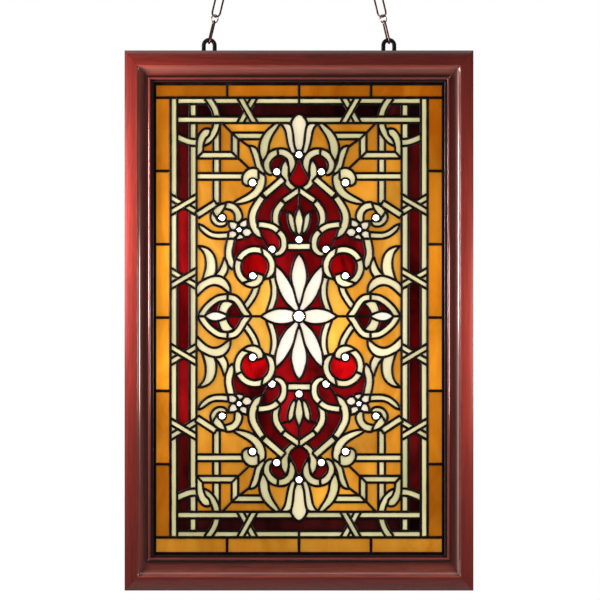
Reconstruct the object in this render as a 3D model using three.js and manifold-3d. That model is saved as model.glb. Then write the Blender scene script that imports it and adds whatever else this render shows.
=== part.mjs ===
// A leaded glass window panel in a moulded wood frame, hung by two short chains that end in hooks.
// Millimetres, +Z up, +X to the right, the front facing -Y.
// The origin lies midway between the two points where the hooks bear on their nails.
//
// The glass pattern is drawn in its own coordinates (u to the right, v up) from the middle of the
// central flower. Its upper right quarter is drawn once and mirrored to the other three.
import * as THREE from "three";
import { mergeVertices } from "three/addons/utils/BufferGeometryUtils.js";
import Module from "manifold-3d";

// ---- driving dimensions ----

const FRAME_WIDTH = 494.5; // over the two side rails
const FRAME_TOP = 376.9; // height of the frame's top edge above the pattern's middle
const FRAME_BOTTOM = -388.8; // and of its bottom edge
const FRAME_DEPTH = 30;

const SIGHT_HALF_WIDTH = 202.8; // glass that shows inside the edge came
const SIGHT_TOP = 328.6;
const SIGHT_BOTTOM = -335;
const CAME_SHOWING = 3.8; // face of the edge came between glass and wood
const CAME_COVER = 7.5; // how far the came runs on under the wood lip
const RABBET_CLEARANCE = 1.5;

const STEP_WIDTH = 3.5; // flat step of the moulding next to the came
const BEAD_WIDTH = 4.2;
const COVE_WIDTH = 14.6;
const BOTTOM_COVE_WIDTH = 22.5; // the bottom rail has a wider cove
const STEP_DROP = 9.5; // how far the step lies behind the frame's front face
const BEAD_DROP = 5.5;
const COVE_DROP = 8;
const ARRIS = 1.2; // chamfer on the frame's outer front edge
const COVE_STATIONS = 5;
const BEAD_STATIONS = 4;

const SEAM = 3; // width of a solder seam between two panes
const SEAM_DEPTH = 5; // thickness of the soldered network, front to back
const GLASS_DEPTH = 3;
const STRAP_FRONT = 2.8; // front face of the strapwork, before the panel's middle plane
const STRAP_BACK = 1.4;
const FIELD_FRONT = 1.1; // front face of the broad glass fields
const FIELD_BACK = -1.9;
const GAP = 0.3; // clearance between neighbouring pieces

const OUTER_STRAP = 177.75; // middle of the outer upright strap
const INNER_STRAP = 150.4;
const UPPER_STRAP = 305.6; // middle of the upper level strap
const LOWER_STRAP = 279;
const STRAP_GLASS = 6.5; // usual width of a strap's glass, without its seams
const LOWER_STRETCH = 1.012; // the lower half of the pattern is this much taller than the upper
const TILE_SEAM = 182.5; // seam between the strapwork and the side tiles
const TILE_ROW_SEAM = 310.2; // and the rows of tiles at the top and bottom
const SIDE_TILES = 6;
const ROW_TILES = 4;

const EYE_OFFSET = 127.5; // hanging eyes, from the middle of the frame
const EYE_STOCK = 6;
const EYE_WIDTH = 21.5;
const EYE_HEIGHT = 18.5;
const LINK_WIRE = 2.7;
const LINK_INNER_LENGTH = 30;
const LINK_WIDTH = 15.2;
const RING_WIRE = 2;
const RING_INNER = 9.4;
const CHAIN_LEAN = THREE.MathUtils.degToRad(13.5);
const FIRST_LINK_TURN = THREE.MathUtils.degToRad(102); // turns about the chain's own length
const RING_TURN = THREE.MathUtils.degToRad(38);
const SECOND_LINK_TURN = THREE.MathUtils.degToRad(-25);
const LINK_STEP = THREE.MathUtils.degToRad(105); // and from each link above the ring to the next
const LINKS_ABOVE_RING = 2;
const HOOK_WIRE = 3;
const HOOK_INNER_LENGTH = 26;
const HOOK_LOWER_BEND = 4; // inner radii of the hook's two bends
const HOOK_UPPER_BEND = 6;

const STATION = 24; // distance between two stations of a curved strap
const JEWEL_SIDES = 6;
const PETAL_STATIONS = 4;
const LINK_STATIONS = 8;
const WIRE_SIDES = 5;
const STOCK_SIDES = 8;

// ---- heights, worked out from the hanging points down ----

const linksLength = LINK_INNER_LENGTH * (1 + LINKS_ABOVE_RING) + RING_INNER;
const clearances = LINKS_ABOVE_RING + 4; // one at each contact, and a second one at the eye
const chainLength = linksLength + HOOK_INNER_LENGTH - clearances * GAP;
const eyeContactZ = -chainLength * Math.cos(CHAIN_LEAN);
const frameTopZ = eyeContactZ - (EYE_HEIGHT - EYE_STOCK);
const patternZ = frameTopZ - FRAME_TOP;

// ---- solids ----

const wasm = await Module();
wasm.setup();

/** A closed three.js geometry as a manifold-3d solid. */
function toSolid(geometry) {
  const bare = geometry.clone();
  bare.deleteAttribute("normal");
  bare.deleteAttribute("uv");
  const merged = mergeVertices(bare, 1e-4);
  return new wasm.Manifold(
    new wasm.Mesh({
      numProp: 3,
      vertProperties: new Float32Array(merged.attributes.position.array),
      triVerts: new Uint32Array(merged.index.array),
    }),
  );
}

/** A manifold-3d solid as a three.js geometry. */
function toGeometry(solid) {
  const mesh = solid.getMesh();
  const geometry = new THREE.BufferGeometry();
  geometry.setAttribute("position", new THREE.BufferAttribute(mesh.vertProperties, 3));
  geometry.setIndex(new THREE.BufferAttribute(mesh.triVerts, 1));
  geometry.computeVertexNormals();
  return geometry;
}

const join = (solids) => solids.reduce((whole, next) => whole.add(next));
const cut = (solid, tools) => tools.reduce((rest, tool) => rest.subtract(tool), solid);

/** An upright plate with a given outline in the plane of the panel; front and back are distances
 *  towards the viewer from the panel's middle plane. */
function plate(outline, front, back) {
  const shape = new THREE.Shape(outline.map(([x, z]) => new THREE.Vector2(x, z)));
  const geometry = new THREE.ExtrudeGeometry(shape, { depth: front - back, bevelEnabled: false });
  geometry.rotateX(Math.PI / 2);
  geometry.translate(0, -back, patternZ);
  return toSolid(geometry);
}

/** Mirrors an outline of the upper right quarter into the quarter with these signs. */
function toQuarter(outline, signU, signV) {
  const stretch = signV < 0 ? LOWER_STRETCH : 1;
  return outline.map(([u, v]) => [u * signU, v * signV * stretch]);
}

const QUARTERS = [
  [1, 1],
  [-1, 1],
  [-1, -1],
  [1, -1],
];
const inAllQuarters = (outline) => QUARTERS.map(([su, sv]) => toQuarter(outline, su, sv));

const rectangle = (left, bottom, right, top) => [
  [left, bottom],
  [right, bottom],
  [right, top],
  [left, top],
];

function circle(u, v, radius, stations = JEWEL_SIDES) {
  return Array.from({ length: stations }, (_, i) => {
    const angle = ((i + 0.5) / stations) * 2 * Math.PI;
    return [u + radius * Math.cos(angle), v + radius * Math.sin(angle)];
  });
}

/** Moves every side of a closed outline outwards (or inwards, where distance is negative). */
function grow(outline, distance) {
  const turn = Math.sign(THREE.ShapeUtils.area(outline.map(([x, y]) => ({ x, y }))));
  const count = outline.length;
  return outline.map(([x, y], i) => {
    const [px, py] = outline[(i + count - 1) % count];
    const [nx, ny] = outline[(i + 1) % count];
    const before = new THREE.Vector2(y - py, px - x).normalize();
    const after = new THREE.Vector2(ny - y, x - nx).normalize();
    const bisector = before.clone().add(after).normalize();
    const reach = (turn * distance) / Math.max(0.5, bisector.dot(after));
    return [x + bisector.x * reach, y + bisector.y * reach];
  });
}

/** Value of an evenly spaced list at a place from 0 to 1. */
function along(values, place) {
  const at = place * (values.length - 1);
  const i = Math.min(Math.floor(at), values.length - 2);
  return THREE.MathUtils.lerp(values[i], values[i + 1], at - i);
}

/** The outline of a band that follows a smooth spine. Its widths are spaced evenly along the spine,
 *  and a width of 0 makes a point. */
function band(spine, widths, extra = SEAM) {
  const curve = new THREE.SplineCurve(spine.map(([u, v]) => new THREE.Vector2(u, v)));
  const steps = spine.length === 2 ? 1 : Math.max(2, Math.round(curve.getLength() / STATION));
  const left = [];
  const right = [];
  for (let i = 0; i <= steps; i++) {
    const place = i / steps;
    const middle = curve.getPointAt(place);
    const ahead = curve.getTangentAt(place);
    const width = along(widths, place);
    const half = width > 0 ? (width + extra) / 2 : 0;
    left.push([middle.x - ahead.y * half, middle.y + ahead.x * half]);
    if (half > 0) right.unshift([middle.x + ahead.y * half, middle.y - ahead.x * half]);
  }
  return left.concat(right);
}

/** A petal from root to tip, widest at the place that fullness gives. */
function petal(root, tip, width, widest, stations) {
  const start = new THREE.Vector2(...root);
  const run = new THREE.Vector2(...tip).sub(start);
  const side = new THREE.Vector2(-run.y, run.x).normalize();
  const power = Math.log(0.5) / Math.log(widest);
  const left = [];
  const right = [];
  for (let i = 1; i < stations; i++) {
    const place = i / stations;
    const half = (width / 2) * Math.sin(Math.PI * place ** power);
    const middle = start.clone().addScaledVector(run, place);
    left.push([middle.x + side.x * half, middle.y + side.y * half]);
    right.unshift([middle.x - side.x * half, middle.y - side.y * half]);
  }
  return [root, ...left, tip, ...right];
}

// ---- the strapwork of one quarter ----

/** A strap of straight runs that turns sharp corners, as an outline. */
function bentStrap(points, width = STRAP_GLASS) {
  const half = (width + SEAM) / 2;
  const sides = [half, -half].map((reach) =>
    points.map(([u, v], i) => {
      const [pu, pv] = points[Math.max(i - 1, 0)];
      const [nu, nv] = points[Math.min(i + 1, points.length - 1)];
      const before = new THREE.Vector2(pv - v, u - pu).normalize();
      const after = new THREE.Vector2(v - nv, nu - u).normalize();
      const bisector = before.clone().add(after).normalize();
      const length = reach / bisector.dot(i ? before : after);
      return [u + bisector.x * length, v + bisector.y * length];
    }),
  );
  return [...sides[0], ...sides[1].reverse()];
}

/** Straight straps along the border, with the crossings that join them. */
function borderStraps() {
  const outer = OUTER_STRAP + 2;
  const crossings = [53.6, 158.3].flatMap((v) => [
    bentStrap([[INNER_STRAP, v + 8], [outer, v - 9]], 5.2),
    bentStrap([[INNER_STRAP, v - 8], [outer, v + 9]], 5.2),
  ]);
  return [
    bentStrap([[OUTER_STRAP, 0], [OUTER_STRAP, TILE_ROW_SEAM]]),
    bentStrap([[INNER_STRAP, 0], [INNER_STRAP, UPPER_STRAP]]),
    bentStrap([[0, UPPER_STRAP], [OUTER_STRAP, UPPER_STRAP]]),
    bentStrap([[11, LOWER_STRAP], [OUTER_STRAP, LOWER_STRAP]]),
    bentStrap([[83, UPPER_STRAP], [64, LOWER_STRAP]], 5.4),
    bentStrap([[64, UPPER_STRAP], [83, LOWER_STRAP]], 5.4),
    ...crossings,
  ];
}

/** The ring woven into the corner and the bent straps of the lattice inside it. */
function cornerLattice() {
  return [
    band([[129, UPPER_STRAP], [118, 288], [118.5, 268], [129, 250], [150, 247], [OUTER_STRAP, 257]], [7, 7]),
    bentStrap([[54, 256], [91, 256], [91, 228.6], [141.5, 228.6], [141.5, 244], [128, 264]]),
    bentStrap([[117.2, 160], [117.2, 259]]),
    bentStrap([[79, 198.5], [INNER_STRAP, 198.5]]),
    band([[117, 160], [135, 149], [INNER_STRAP, 139]], [7, 7]),
  ];
}

/** The lily at the top: its petals, the ring of straps under it and the long leaves beside it. */
function lily() {
  return [
    band([[0, 288], [0, 270], [0, 250], [0, 232]], [0, 19, 14, 4]),
    band([[7, 230], [12, 246], [16, 262], [20, 276]], [1, 7, 9, 10]),
    band([[34, 271], [45.5, 255], [50, 240], [50, 218]], [0, 7, 8, 5]),
    band([[73, 243], [62, 231], [57, 213], [52, 203]], [0, 7, 6, 4]),
    band([[13, 199], [10, 217], [17, 230], [30, 233], [42, 226], [46, 213], [37, 203]], [5, 8, 7, 8, 5]),
    band([[19, 222], [20.5, 202], [14.5, 187], [0, 180]], [0, 8, 7.5, 6]),
    circle(31.7, 205.3, 7.5),
    circle(0, 229.5, 7.5),
    bentStrap([[70, 241], [90, 254]], 1),
  ];
}

/** The crossing bands that shut in the red field, the bud between them and the bar under it. */
function crossingBands() {
  return [
    bentStrap([[20, 197], [51, 171], [52, 168]]),
    band([[50, 171], [61.5, 155], [66, 137], [51, 110]], [7, 8.5, 8, 0]),
    bentStrap([[0, 179], [24, 162.5]]),
    band([[23, 163.5], [32, 148.5], [33, 134], [28, 120]], [7, 7.5, 7, 6]),
    band([[64, 131], [41.5, 128], [26, 117.5], [21.5, 102], [28.5, 90], [38, 89]], [6.5, 6.5, 7, 5]),
    circle(38.5, 95, 7.5),
    petal([0, 114], [0, 156], 12, 0.5, 4),
    bentStrap([[0, 99], [19, 99]]),
    circle(0, 109, 7.5),
  ];
}

/** The band over the side ring, its tail and the strap that it springs from. */
function ringStraps() {
  return [
    circle(65.8, 57.5, 7.5),
    band([[97, 113], [100.8, 93], [98, 78], [90, 66]], [7.5, 8, 8, 3]),
    band([[41, 54], [35, 40], [37, 20], [45, 2]], [6, 6]),
    band([[59, 46], [63, 34], [76, 14]], [6, 6]),
  ];
}

/** The eye on the level axis, with the arch and the leaves over it. */
function eyeAndLeaves() {
  return [
    band([[73, 0], [82.5, 14.5], [101, 26.7], [120, 21.8], [139, 0]], [6.5, 6.5]),
    petal([103, 0], [137, 0], 14, 0.5, 4),
    band([[99.5, 31], [109, 48], [125, 50], [INNER_STRAP, 31]], [3, 9, 8, 8]),
    band([[103, 85], [107.5, 69], [114, 54]], [0, 8, 12]),
    band([[139.5, 98], [128, 84], [126, 70], [131, 50]], [0, 8, 11, 11]),
  ];
}

/** Scrolls and the spiral between the lattice and the side ring. */
function scrolls() {
  return [
    band([[56, 201], [67, 203], [76, 194], [73, 186]], [7, 10, 7, 3]),
    circle(66, 189.8, 7.5),
    band([[56, 203], [54, 188], [66, 171.5], [97, 158]], [5, 9.5, 8, 0]),
    band([[118, 153], [103, 157], [88, 147.5], [88, 131]], [9, 5, 8.5, 5]),
    circle(109.3, 143, 9),
    band([[95, 114.5], [120, 114.5], [134, 122], [INNER_STRAP, 134]], [6, 6, 5, 4]),
  ];
}

/** The four closed rings beside the flower. */
function sideRings() {
  const stations = 11;
  const half = (7 + SEAM) / 2;
  const rims = inAllQuarters(circle(63.2, 70, 24.2 + half, stations));
  const holes = inAllQuarters(circle(63.2, 70, 24.2 - half, stations));
  return rims.map((rim, i) =>
    plate(rim, STRAP_FRONT, STRAP_BACK).subtract(plate(holes[i], STRAP_FRONT + 1, STRAP_BACK - 1)),
  );
}

/** The rectangle inside the tile seams, less a distance all round. */
function insideTiles(inset) {
  const half = TILE_SEAM - inset;
  return rectangle(-half, -TILE_ROW_SEAM * LOWER_STRETCH + inset, half, TILE_ROW_SEAM - inset);
}

function strapwork() {
  const outlines = [
    ...borderStraps(),
    ...cornerLattice(),
    ...lily(),
    ...crossingBands(),
    ...ringStraps(),
    ...eyeAndLeaves(),
    ...scrolls(),
  ];
  const plates = outlines.flatMap(inAllQuarters).map((outline) => plate(outline, STRAP_FRONT, STRAP_BACK));
  const bounds = plate(insideTiles(SEAM / 2 + GAP), STRAP_FRONT + 1, STRAP_BACK - 1);
  const flower = flowerRims(GAP, STRAP_FRONT + 1, STRAP_BACK - 1);
  return cut(join([...plates, ...sideRings()]).intersect(bounds), flower);
}

// ---- the flower in the middle ----

const FLOWER_PETALS = {
  petal_up: petal([0, 11], [0, 88.5], 20, 0.6, PETAL_STATIONS),
  petal_up_right: petal([5, 10.5], [32, 70], 17, 0.5, PETAL_STATIONS),
  petal_right: petal([8.5, 0], [52.5, 0], 18.6, 0.42, PETAL_STATIONS),
  petal_down_right: petal([5, -10.5], [32, -70.5], 17, 0.5, PETAL_STATIONS),
  petal_down: petal([0, -11], [0, -89.5], 20, 0.6, PETAL_STATIONS),
  petal_down_left: petal([-5, -10.5], [-32, -70.5], 17, 0.5, PETAL_STATIONS),
  petal_left: petal([-8.5, 0], [-52.5, 0], 18.6, 0.42, PETAL_STATIONS),
  petal_up_left: petal([-5, 10.5], [-32, 70], 17, 0.5, PETAL_STATIONS),
};
const FLOWER_JEWEL = 7.5; // radius
const FLOWER_JEWEL_RISE = 3;

/** Plates over the petals and the jewel with their seams, and a clearance where one is given. */
function flowerRims(clearance, front, back) {
  const petals = Object.values(FLOWER_PETALS);
  const rims = petals.map((outline) => plate(grow(outline, SEAM + clearance), front, back));
  return [...rims, plate(circle(0, 0, FLOWER_JEWEL + SEAM + 2 + clearance, 12), front, back)];
}

/** The solder round the petals, with a hole for each of them and for the jewel. */
function flowerLead() {
  const petals = Object.values(FLOWER_PETALS);
  const holes = petals.map((outline) => plate(grow(outline, GAP), STRAP_FRONT + 1, STRAP_BACK - 1));
  const socket = plate(circle(0, 0, FLOWER_JEWEL + GAP, 12), STRAP_FRONT + 1, STRAP_BACK - 1);
  return cut(join(flowerRims(0, STRAP_FRONT, STRAP_BACK)), [...holes, socket]);
}

/** A round jewel, flat at the back and domed in front. */
function flowerJewel() {
  const rings = 3;
  const profile = [[0, 0], [FLOWER_JEWEL, 0]];
  for (let i = 0; i <= rings; i++) {
    const angle = (i / rings) * (Math.PI / 2);
    const height = GLASS_DEPTH + FLOWER_JEWEL_RISE * Math.sin(angle);
    profile.push([i < rings ? FLOWER_JEWEL * Math.cos(angle) : 0, height]);
  }
  const geometry = new THREE.LatheGeometry(profile.map(([r, h]) => new THREE.Vector2(r, h)), 12);
  geometry.translate(0, FIELD_BACK, 0);
  geometry.rotateX(Math.PI);
  geometry.translate(0, 0, patternZ);
  return toSolid(geometry);
}

// ---- broad fields of glass behind the strapwork ----

/** One quarter of the red field, bounded by the middles of the straps round it. */
const RED_QUARTER = [
  [0, 0], [0, 222], [10, 226], [17, 230], [30, 233], [42, 226], [46, 213], [38, 203], [24, 193],
  [51, 171], [61.5, 155], [66, 137], [62, 122], [97, 112], [100.8, 93], [98, 78], [87, 62],
  [72, 47.5], [57, 51], [43, 56], [35, 40], [37, 20], [45, 0],
];

const flowerHoles = () =>
  Object.values(FLOWER_PETALS)
    .map((outline) => plate(grow(outline, GAP), STRAP_FRONT, FIELD_BACK - 1))
    .concat(plate(circle(0, 0, FLOWER_JEWEL + 2 * SEAM, 12), STRAP_FRONT, FIELD_BACK - 1));

/** The red field over or under the flower. */
function redField(signV) {
  const halves = [1, -1].map((signU) => plate(toQuarter(RED_QUARTER, signU, signV), FIELD_FRONT, FIELD_BACK));
  return cut(join(halves), flowerHoles());
}

/** Half of the eye's outline, along the middle of the strap round it. */
const EYE_HALF = [[73, 0], [82.5, 14.5], [92, 24.5], [101, 26.7], [120, 21.8], [139, 0]];

function eyeGlass(signU) {
  const over = EYE_HALF.map(([u, v]) => [u * signU, v]);
  const under = EYE_HALF.slice(1, -1).map(([u, v]) => [u * signU, -v * LOWER_STRETCH]);
  return [...over, ...under.reverse()];
}

/** Amber glass round the red field, out to the middle of the inner straps. */
function amberField() {
  const reach = rectangle(-INNER_STRAP, -LOWER_STRAP * LOWER_STRETCH, INNER_STRAP, LOWER_STRAP);
  const reds = inAllQuarters(RED_QUARTER).map((outline) => grow(outline, GAP));
  const eyes = [1, -1].map((signU) => grow(eyeGlass(signU), GAP));
  const holes = [...reds, ...eyes].map((outline) => plate(outline, FIELD_FRONT + 1, FIELD_BACK - 1));
  return cut(plate(reach, FIELD_FRONT, FIELD_BACK), [...holes, ...flowerHoles()]);
}

/** The dark red strips between the inner and the outer straps. */
function redStrips() {
  const [outer] = insideTiles(SEAM / 2 + GAP);
  const top = TILE_ROW_SEAM - SEAM / 2 - GAP;
  const bottom = outer[1];
  const side = INNER_STRAP + GAP;
  const level = LOWER_STRAP + GAP;
  return {
    red_strip_right: rectangle(side, bottom, -outer[0], top),
    red_strip_left: rectangle(outer[0], bottom, -side, top),
    red_strip_top: rectangle(-INNER_STRAP, level, INNER_STRAP, top),
    red_strip_bottom: rectangle(-INNER_STRAP, bottom, INNER_STRAP, -level * LOWER_STRETCH),
  };
}

// ---- the border of tiles and its lead ----

/** Middles of the seams between tiles along one side. */
const seamsBetween = (from, to, count) =>
  Array.from({ length: count + 1 }, (_, i) => from + ((to - from) * i) / count);

/** The glass outlines of the twenty border tiles, by name. */
function tileOutlines() {
  const low = -TILE_ROW_SEAM * LOWER_STRETCH;
  const half = SEAM / 2;
  const tiles = {};
  const levels = seamsBetween(TILE_ROW_SEAM, low, SIDE_TILES);
  const columns = seamsBetween(-SIGHT_HALF_WIDTH - half, SIGHT_HALF_WIDTH + half, ROW_TILES);
  for (let i = 0; i < SIDE_TILES; i++) {
    const span = [levels[i + 1] + half, levels[i] - half];
    tiles[`border_tile_left_${i + 1}`] = [-SIGHT_HALF_WIDTH, span[0], -TILE_SEAM - half, span[1]];
    tiles[`border_tile_right_${i + 1}`] = [TILE_SEAM + half, span[0], SIGHT_HALF_WIDTH, span[1]];
  }
  for (let i = 0; i < ROW_TILES; i++) {
    const span = [columns[i] + half, columns[i + 1] - half];
    tiles[`border_tile_top_${i + 1}`] = [span[0], TILE_ROW_SEAM + half, span[1], SIGHT_TOP];
    tiles[`border_tile_bottom_${i + 1}`] = [span[0], SIGHT_BOTTOM, span[1], low - half];
  }
  return tiles;
}

/** The edge came with the seams between the tiles, as one network. */
function borderCame(tiles) {
  const reach = CAME_SHOWING + CAME_COVER;
  const outside = rectangle(
    -SIGHT_HALF_WIDTH - reach, SIGHT_BOTTOM - reach, SIGHT_HALF_WIDTH + reach, SIGHT_TOP + reach,
  );
  const middle = plate(insideTiles(SEAM / 2), SEAM_DEPTH, -SEAM_DEPTH);
  const holes = tiles.map((sides) => plate(grow(rectangle(...sides), GAP), SEAM_DEPTH, -SEAM_DEPTH));
  return cut(plate(outside, SEAM_DEPTH / 2, -SEAM_DEPTH / 2), [middle, ...holes]);
}

// ---- the wooden frame ----

/** Section of a rail as [distance outwards from the wood's inner lip, depth] points; the front has
 *  negative depths. */
function railSection(width, coveWidth) {
  const front = -FRAME_DEPTH / 2;
  const lipBack = -SEAM_DEPTH / 2 - 2 * GAP;
  const step = front + STEP_DROP;
  const coveFloor = front + COVE_DROP;
  const coveStart = STEP_WIDTH + BEAD_WIDTH;
  const rabbet = CAME_COVER + RABBET_CLEARANCE;
  const points = [[0, lipBack], [0, step]];
  for (let i = 0; i <= BEAD_STATIONS; i++) {
    const angle = (i / BEAD_STATIONS) * Math.PI;
    const out = STEP_WIDTH + (BEAD_WIDTH / 2) * (1 - Math.cos(angle));
    const foot = i < BEAD_STATIONS / 2 ? step : coveFloor;
    points.push([out, THREE.MathUtils.lerp(foot, front + BEAD_DROP, Math.sin(angle))]);
  }
  for (let i = 1; i <= COVE_STATIONS; i++) {
    const angle = (i / COVE_STATIONS) * (Math.PI / 2);
    points.push([coveStart + coveWidth * Math.sin(angle), coveFloor - COVE_DROP * (1 - Math.cos(angle))]);
  }
  points.push([width - ARRIS, front], [width, front + ARRIS]);
  points.push([width, -front], [rabbet, -front], [rabbet, lipBack]);
  return points;
}

/** Corners of the rectangle that lies this far outwards from the wood's lip; the cove is wider along
 *  the bottom. */
function frameCorners(out, outBottom) {
  const side = SIGHT_HALF_WIDTH + CAME_SHOWING + out;
  const top = SIGHT_TOP + CAME_SHOWING + out;
  const bottom = SIGHT_BOTTOM - CAME_SHOWING - outBottom;
  return [[side, top], [-side, top], [-side, bottom], [side, bottom]];
}

/** The four rails, each cut along the mitres that run from the lip through the cove's edge. */
function frameRails() {
  const beyond = 6;
  const coveStart = STEP_WIDTH + BEAD_WIDTH;
  const mitres = [
    frameCorners(-beyond, -beyond),
    frameCorners(coveStart, coveStart),
    frameCorners(coveStart + COVE_WIDTH, coveStart + BOTTOM_COVE_WIDTH),
    [
      [FRAME_WIDTH / 2, FRAME_TOP], [-FRAME_WIDTH / 2, FRAME_TOP],
      [-FRAME_WIDTH / 2, FRAME_BOTTOM], [FRAME_WIDTH / 2, FRAME_BOTTOM],
    ],
  ];
  mitres.push(mitres[3].map(([x, z], i) => [x + (x - mitres[2][i][0]), z + (z - mitres[2][i][1])]));
  const lip = frameCorners(0, 0);
  const rail = (from, to, level, outwards, edge, coveWidth) => {
    const width = Math.abs(edge - lip[from][level ? 1 : 0]);
    const section = railSection(width, coveWidth).map(([s, y]) => new THREE.Vector2(s * outwards, y));
    const length = 2 * FRAME_WIDTH + 2 * FRAME_TOP;
    const settings = { depth: length, bevelEnabled: false };
    const geometry = new THREE.ExtrudeGeometry(new THREE.Shape(section), settings);
    geometry.translate(0, 0, -length / 2);
    if (level) geometry.rotateY(-Math.PI / 2);
    geometry.translate(level ? 0 : lip[from][0], 0, patternZ + (level ? lip[from][1] : 0));
    const face = [...mitres.map((ring) => ring[from]), ...mitres.map((ring) => ring[to]).reverse()];
    return toSolid(geometry).intersect(plate(grow(face, -GAP / 2), FRAME_DEPTH, -FRAME_DEPTH));
  };
  return {
    frame_rail_top: rail(0, 1, true, 1, FRAME_TOP, COVE_WIDTH),
    frame_rail_left: rail(1, 2, false, -1, -FRAME_WIDTH / 2, COVE_WIDTH),
    frame_rail_bottom: rail(2, 3, true, -1, FRAME_BOTTOM, BOTTOM_COVE_WIDTH),
    frame_rail_right: rail(3, 0, false, 1, FRAME_WIDTH / 2, COVE_WIDTH),
  };
}

// ---- eyes, chain and hooks ----

/** A round rod along a smooth path of [x, z] points in an upright plane. */
function rod(path, radius, sides, steps) {
  const section = new THREE.Shape(circle(0, 0, radius, sides).map(([x, y]) => new THREE.Vector2(x, y)));
  const curve = new THREE.CatmullRomCurve3(path.map(([x, z]) => new THREE.Vector3(x, 0, z)));
  return new THREE.ExtrudeGeometry(section, { steps, extrudePath: curve });
}

/** A staple-shaped eye that stands on the top rail. */
function hangingEye(side) {
  const half = (EYE_WIDTH - EYE_STOCK) / 2;
  const rise = EYE_HEIGHT - EYE_STOCK / 2;
  const shoulder = rise - half;
  const path = [[-half, GAP], [-half, shoulder]];
  for (const degrees of [135, 90, 45]) {
    const angle = THREE.MathUtils.degToRad(degrees);
    path.push([half * Math.cos(angle), shoulder + half * Math.sin(angle)]);
  }
  path.push([half, shoulder], [half, GAP]);
  const geometry = rod(path, EYE_STOCK / 2, STOCK_SIDES, 9);
  geometry.translate(side * EYE_OFFSET, 0, frameTopZ);
  return geometry;
}

/** A link that stands upright on the point where it bears on what is below it. */
function link(innerLength, outerWidth, wire, turn) {
  const radius = (outerWidth - wire) / 2;
  const straight = (innerLength - (outerWidth - 2 * wire)) / 2;
  const geometry = new THREE.TorusGeometry(radius, wire / 2, WIRE_SIDES, LINK_STATIONS);
  geometry.rotateZ(Math.PI / 2);
  const places = geometry.attributes.position;
  for (let i = 0; i < places.count; i++) {
    places.setY(i, places.getY(i) + Math.sign(places.getY(i)) * straight);
  }
  geometry.rotateX(Math.PI / 2);
  geometry.rotateZ(turn);
  geometry.translate(0, 0, innerLength / 2);
  return geometry;
}

/** An open S-shaped hook, standing on the bottom of its lower bend. */
function hook() {
  const lower = HOOK_LOWER_BEND + HOOK_WIRE / 2;
  const upper = HOOK_UPPER_BEND + HOOK_WIRE / 2;
  const bend = (centre, radius, degrees) =>
    degrees.map((d) => {
      const angle = THREE.MathUtils.degToRad(d);
      return [radius * Math.cos(angle), centre + radius * Math.sin(angle)];
    });
  const path = [
    ...bend(HOOK_LOWER_BEND, lower, [40, 0, -45, -90, -135, -180]),
    ...bend(HOOK_INNER_LENGTH - HOOK_UPPER_BEND, upper, [0, 45, 90, 135, 180, 215]),
  ];
  return rod(path, HOOK_WIRE / 2, WIRE_SIDES, 15);
}

/** One chain from its eye up to its hook, by name; side is 1 on the right and -1 on the left. */
function chain(side, label) {
  const longLink = (turn) => link(LINK_INNER_LENGTH, LINK_WIDTH, LINK_WIRE, turn);
  const ring = link(RING_INNER, RING_INNER + 2 * RING_WIRE, RING_WIRE, RING_TURN);
  const pieces = [
    [`chain_link_${label}_1`, longLink(FIRST_LINK_TURN), LINK_INNER_LENGTH],
    [`chain_ring_${label}`, ring, RING_INNER],
  ];
  for (let i = 0; i < LINKS_ABOVE_RING; i++) {
    const turn = SECOND_LINK_TURN + i * LINK_STEP;
    pieces.push([`chain_link_${label}_${i + 2}`, longLink(turn), LINK_INNER_LENGTH]);
  }
  pieces.push([`hook_${label}`, hook(), HOOK_INNER_LENGTH]);
  let reached = -GAP;
  return pieces.map(([name, geometry, length]) => {
    reached -= GAP;
    geometry.translate(0, 0, reached);
    geometry.rotateY(-side * CHAIN_LEAN);
    geometry.translate(side * EYE_OFFSET, 0, eyeContactZ);
    reached += length;
    return [name, geometry];
  });
}

// ---- materials and assembly ----

const finish = (color, roughness, metalness = 0) =>
  new THREE.MeshStandardMaterial({ color, roughness, metalness });
const MATERIALS = {
  wood: finish(0x6b2a26, 0.3),
  lead: finish(0x1c1b1a, 0.45, 0.6),
  amber: finish(0xd98a2b, 0.15),
  cream: finish(0xe9e4bf, 0.2),
  red: finish(0x7a0a0c, 0.15),
  white: finish(0xf6f1e4, 0.15),
  blackIron: finish(0x2b2b2d, 0.5, 0.8),
  bronze: finish(0x5a3a30, 0.4, 0.9),
};

const part = new THREE.Group();

function place(name, shape, material) {
  const geometry = shape.isBufferGeometry ? shape : toGeometry(shape);
  const mesh = new THREE.Mesh(geometry, material);
  mesh.name = name;
  part.add(mesh);
}

for (const [name, rail] of Object.entries(frameRails())) place(name, rail, MATERIALS.wood);

const tiles = tileOutlines();
place("border_came", borderCame(Object.values(tiles)), MATERIALS.lead);
for (const [name, sides] of Object.entries(tiles)) {
  place(name, plate(rectangle(...sides), GLASS_DEPTH / 2, -GLASS_DEPTH / 2), MATERIALS.amber);
}

place("strapwork", strapwork(), MATERIALS.cream);
place("flower_lead", flowerLead(), MATERIALS.lead);
place("flower_jewel", flowerJewel(), MATERIALS.white);
for (const [name, outline] of Object.entries(FLOWER_PETALS)) {
  place(name, plate(outline, GLASS_DEPTH / 2, -GLASS_DEPTH / 2), MATERIALS.white);
}

place("red_field_upper", redField(1), MATERIALS.red);
place("red_field_lower", redField(-1), MATERIALS.red);
place("amber_field", amberField(), MATERIALS.amber);
place("eye_glass_right", plate(eyeGlass(1), FIELD_FRONT, FIELD_BACK), MATERIALS.red);
place("eye_glass_left", plate(eyeGlass(-1), FIELD_FRONT, FIELD_BACK), MATERIALS.red);
for (const [name, outline] of Object.entries(redStrips())) {
  place(name, plate(outline, FIELD_FRONT, FIELD_BACK), MATERIALS.red);
}

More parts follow.
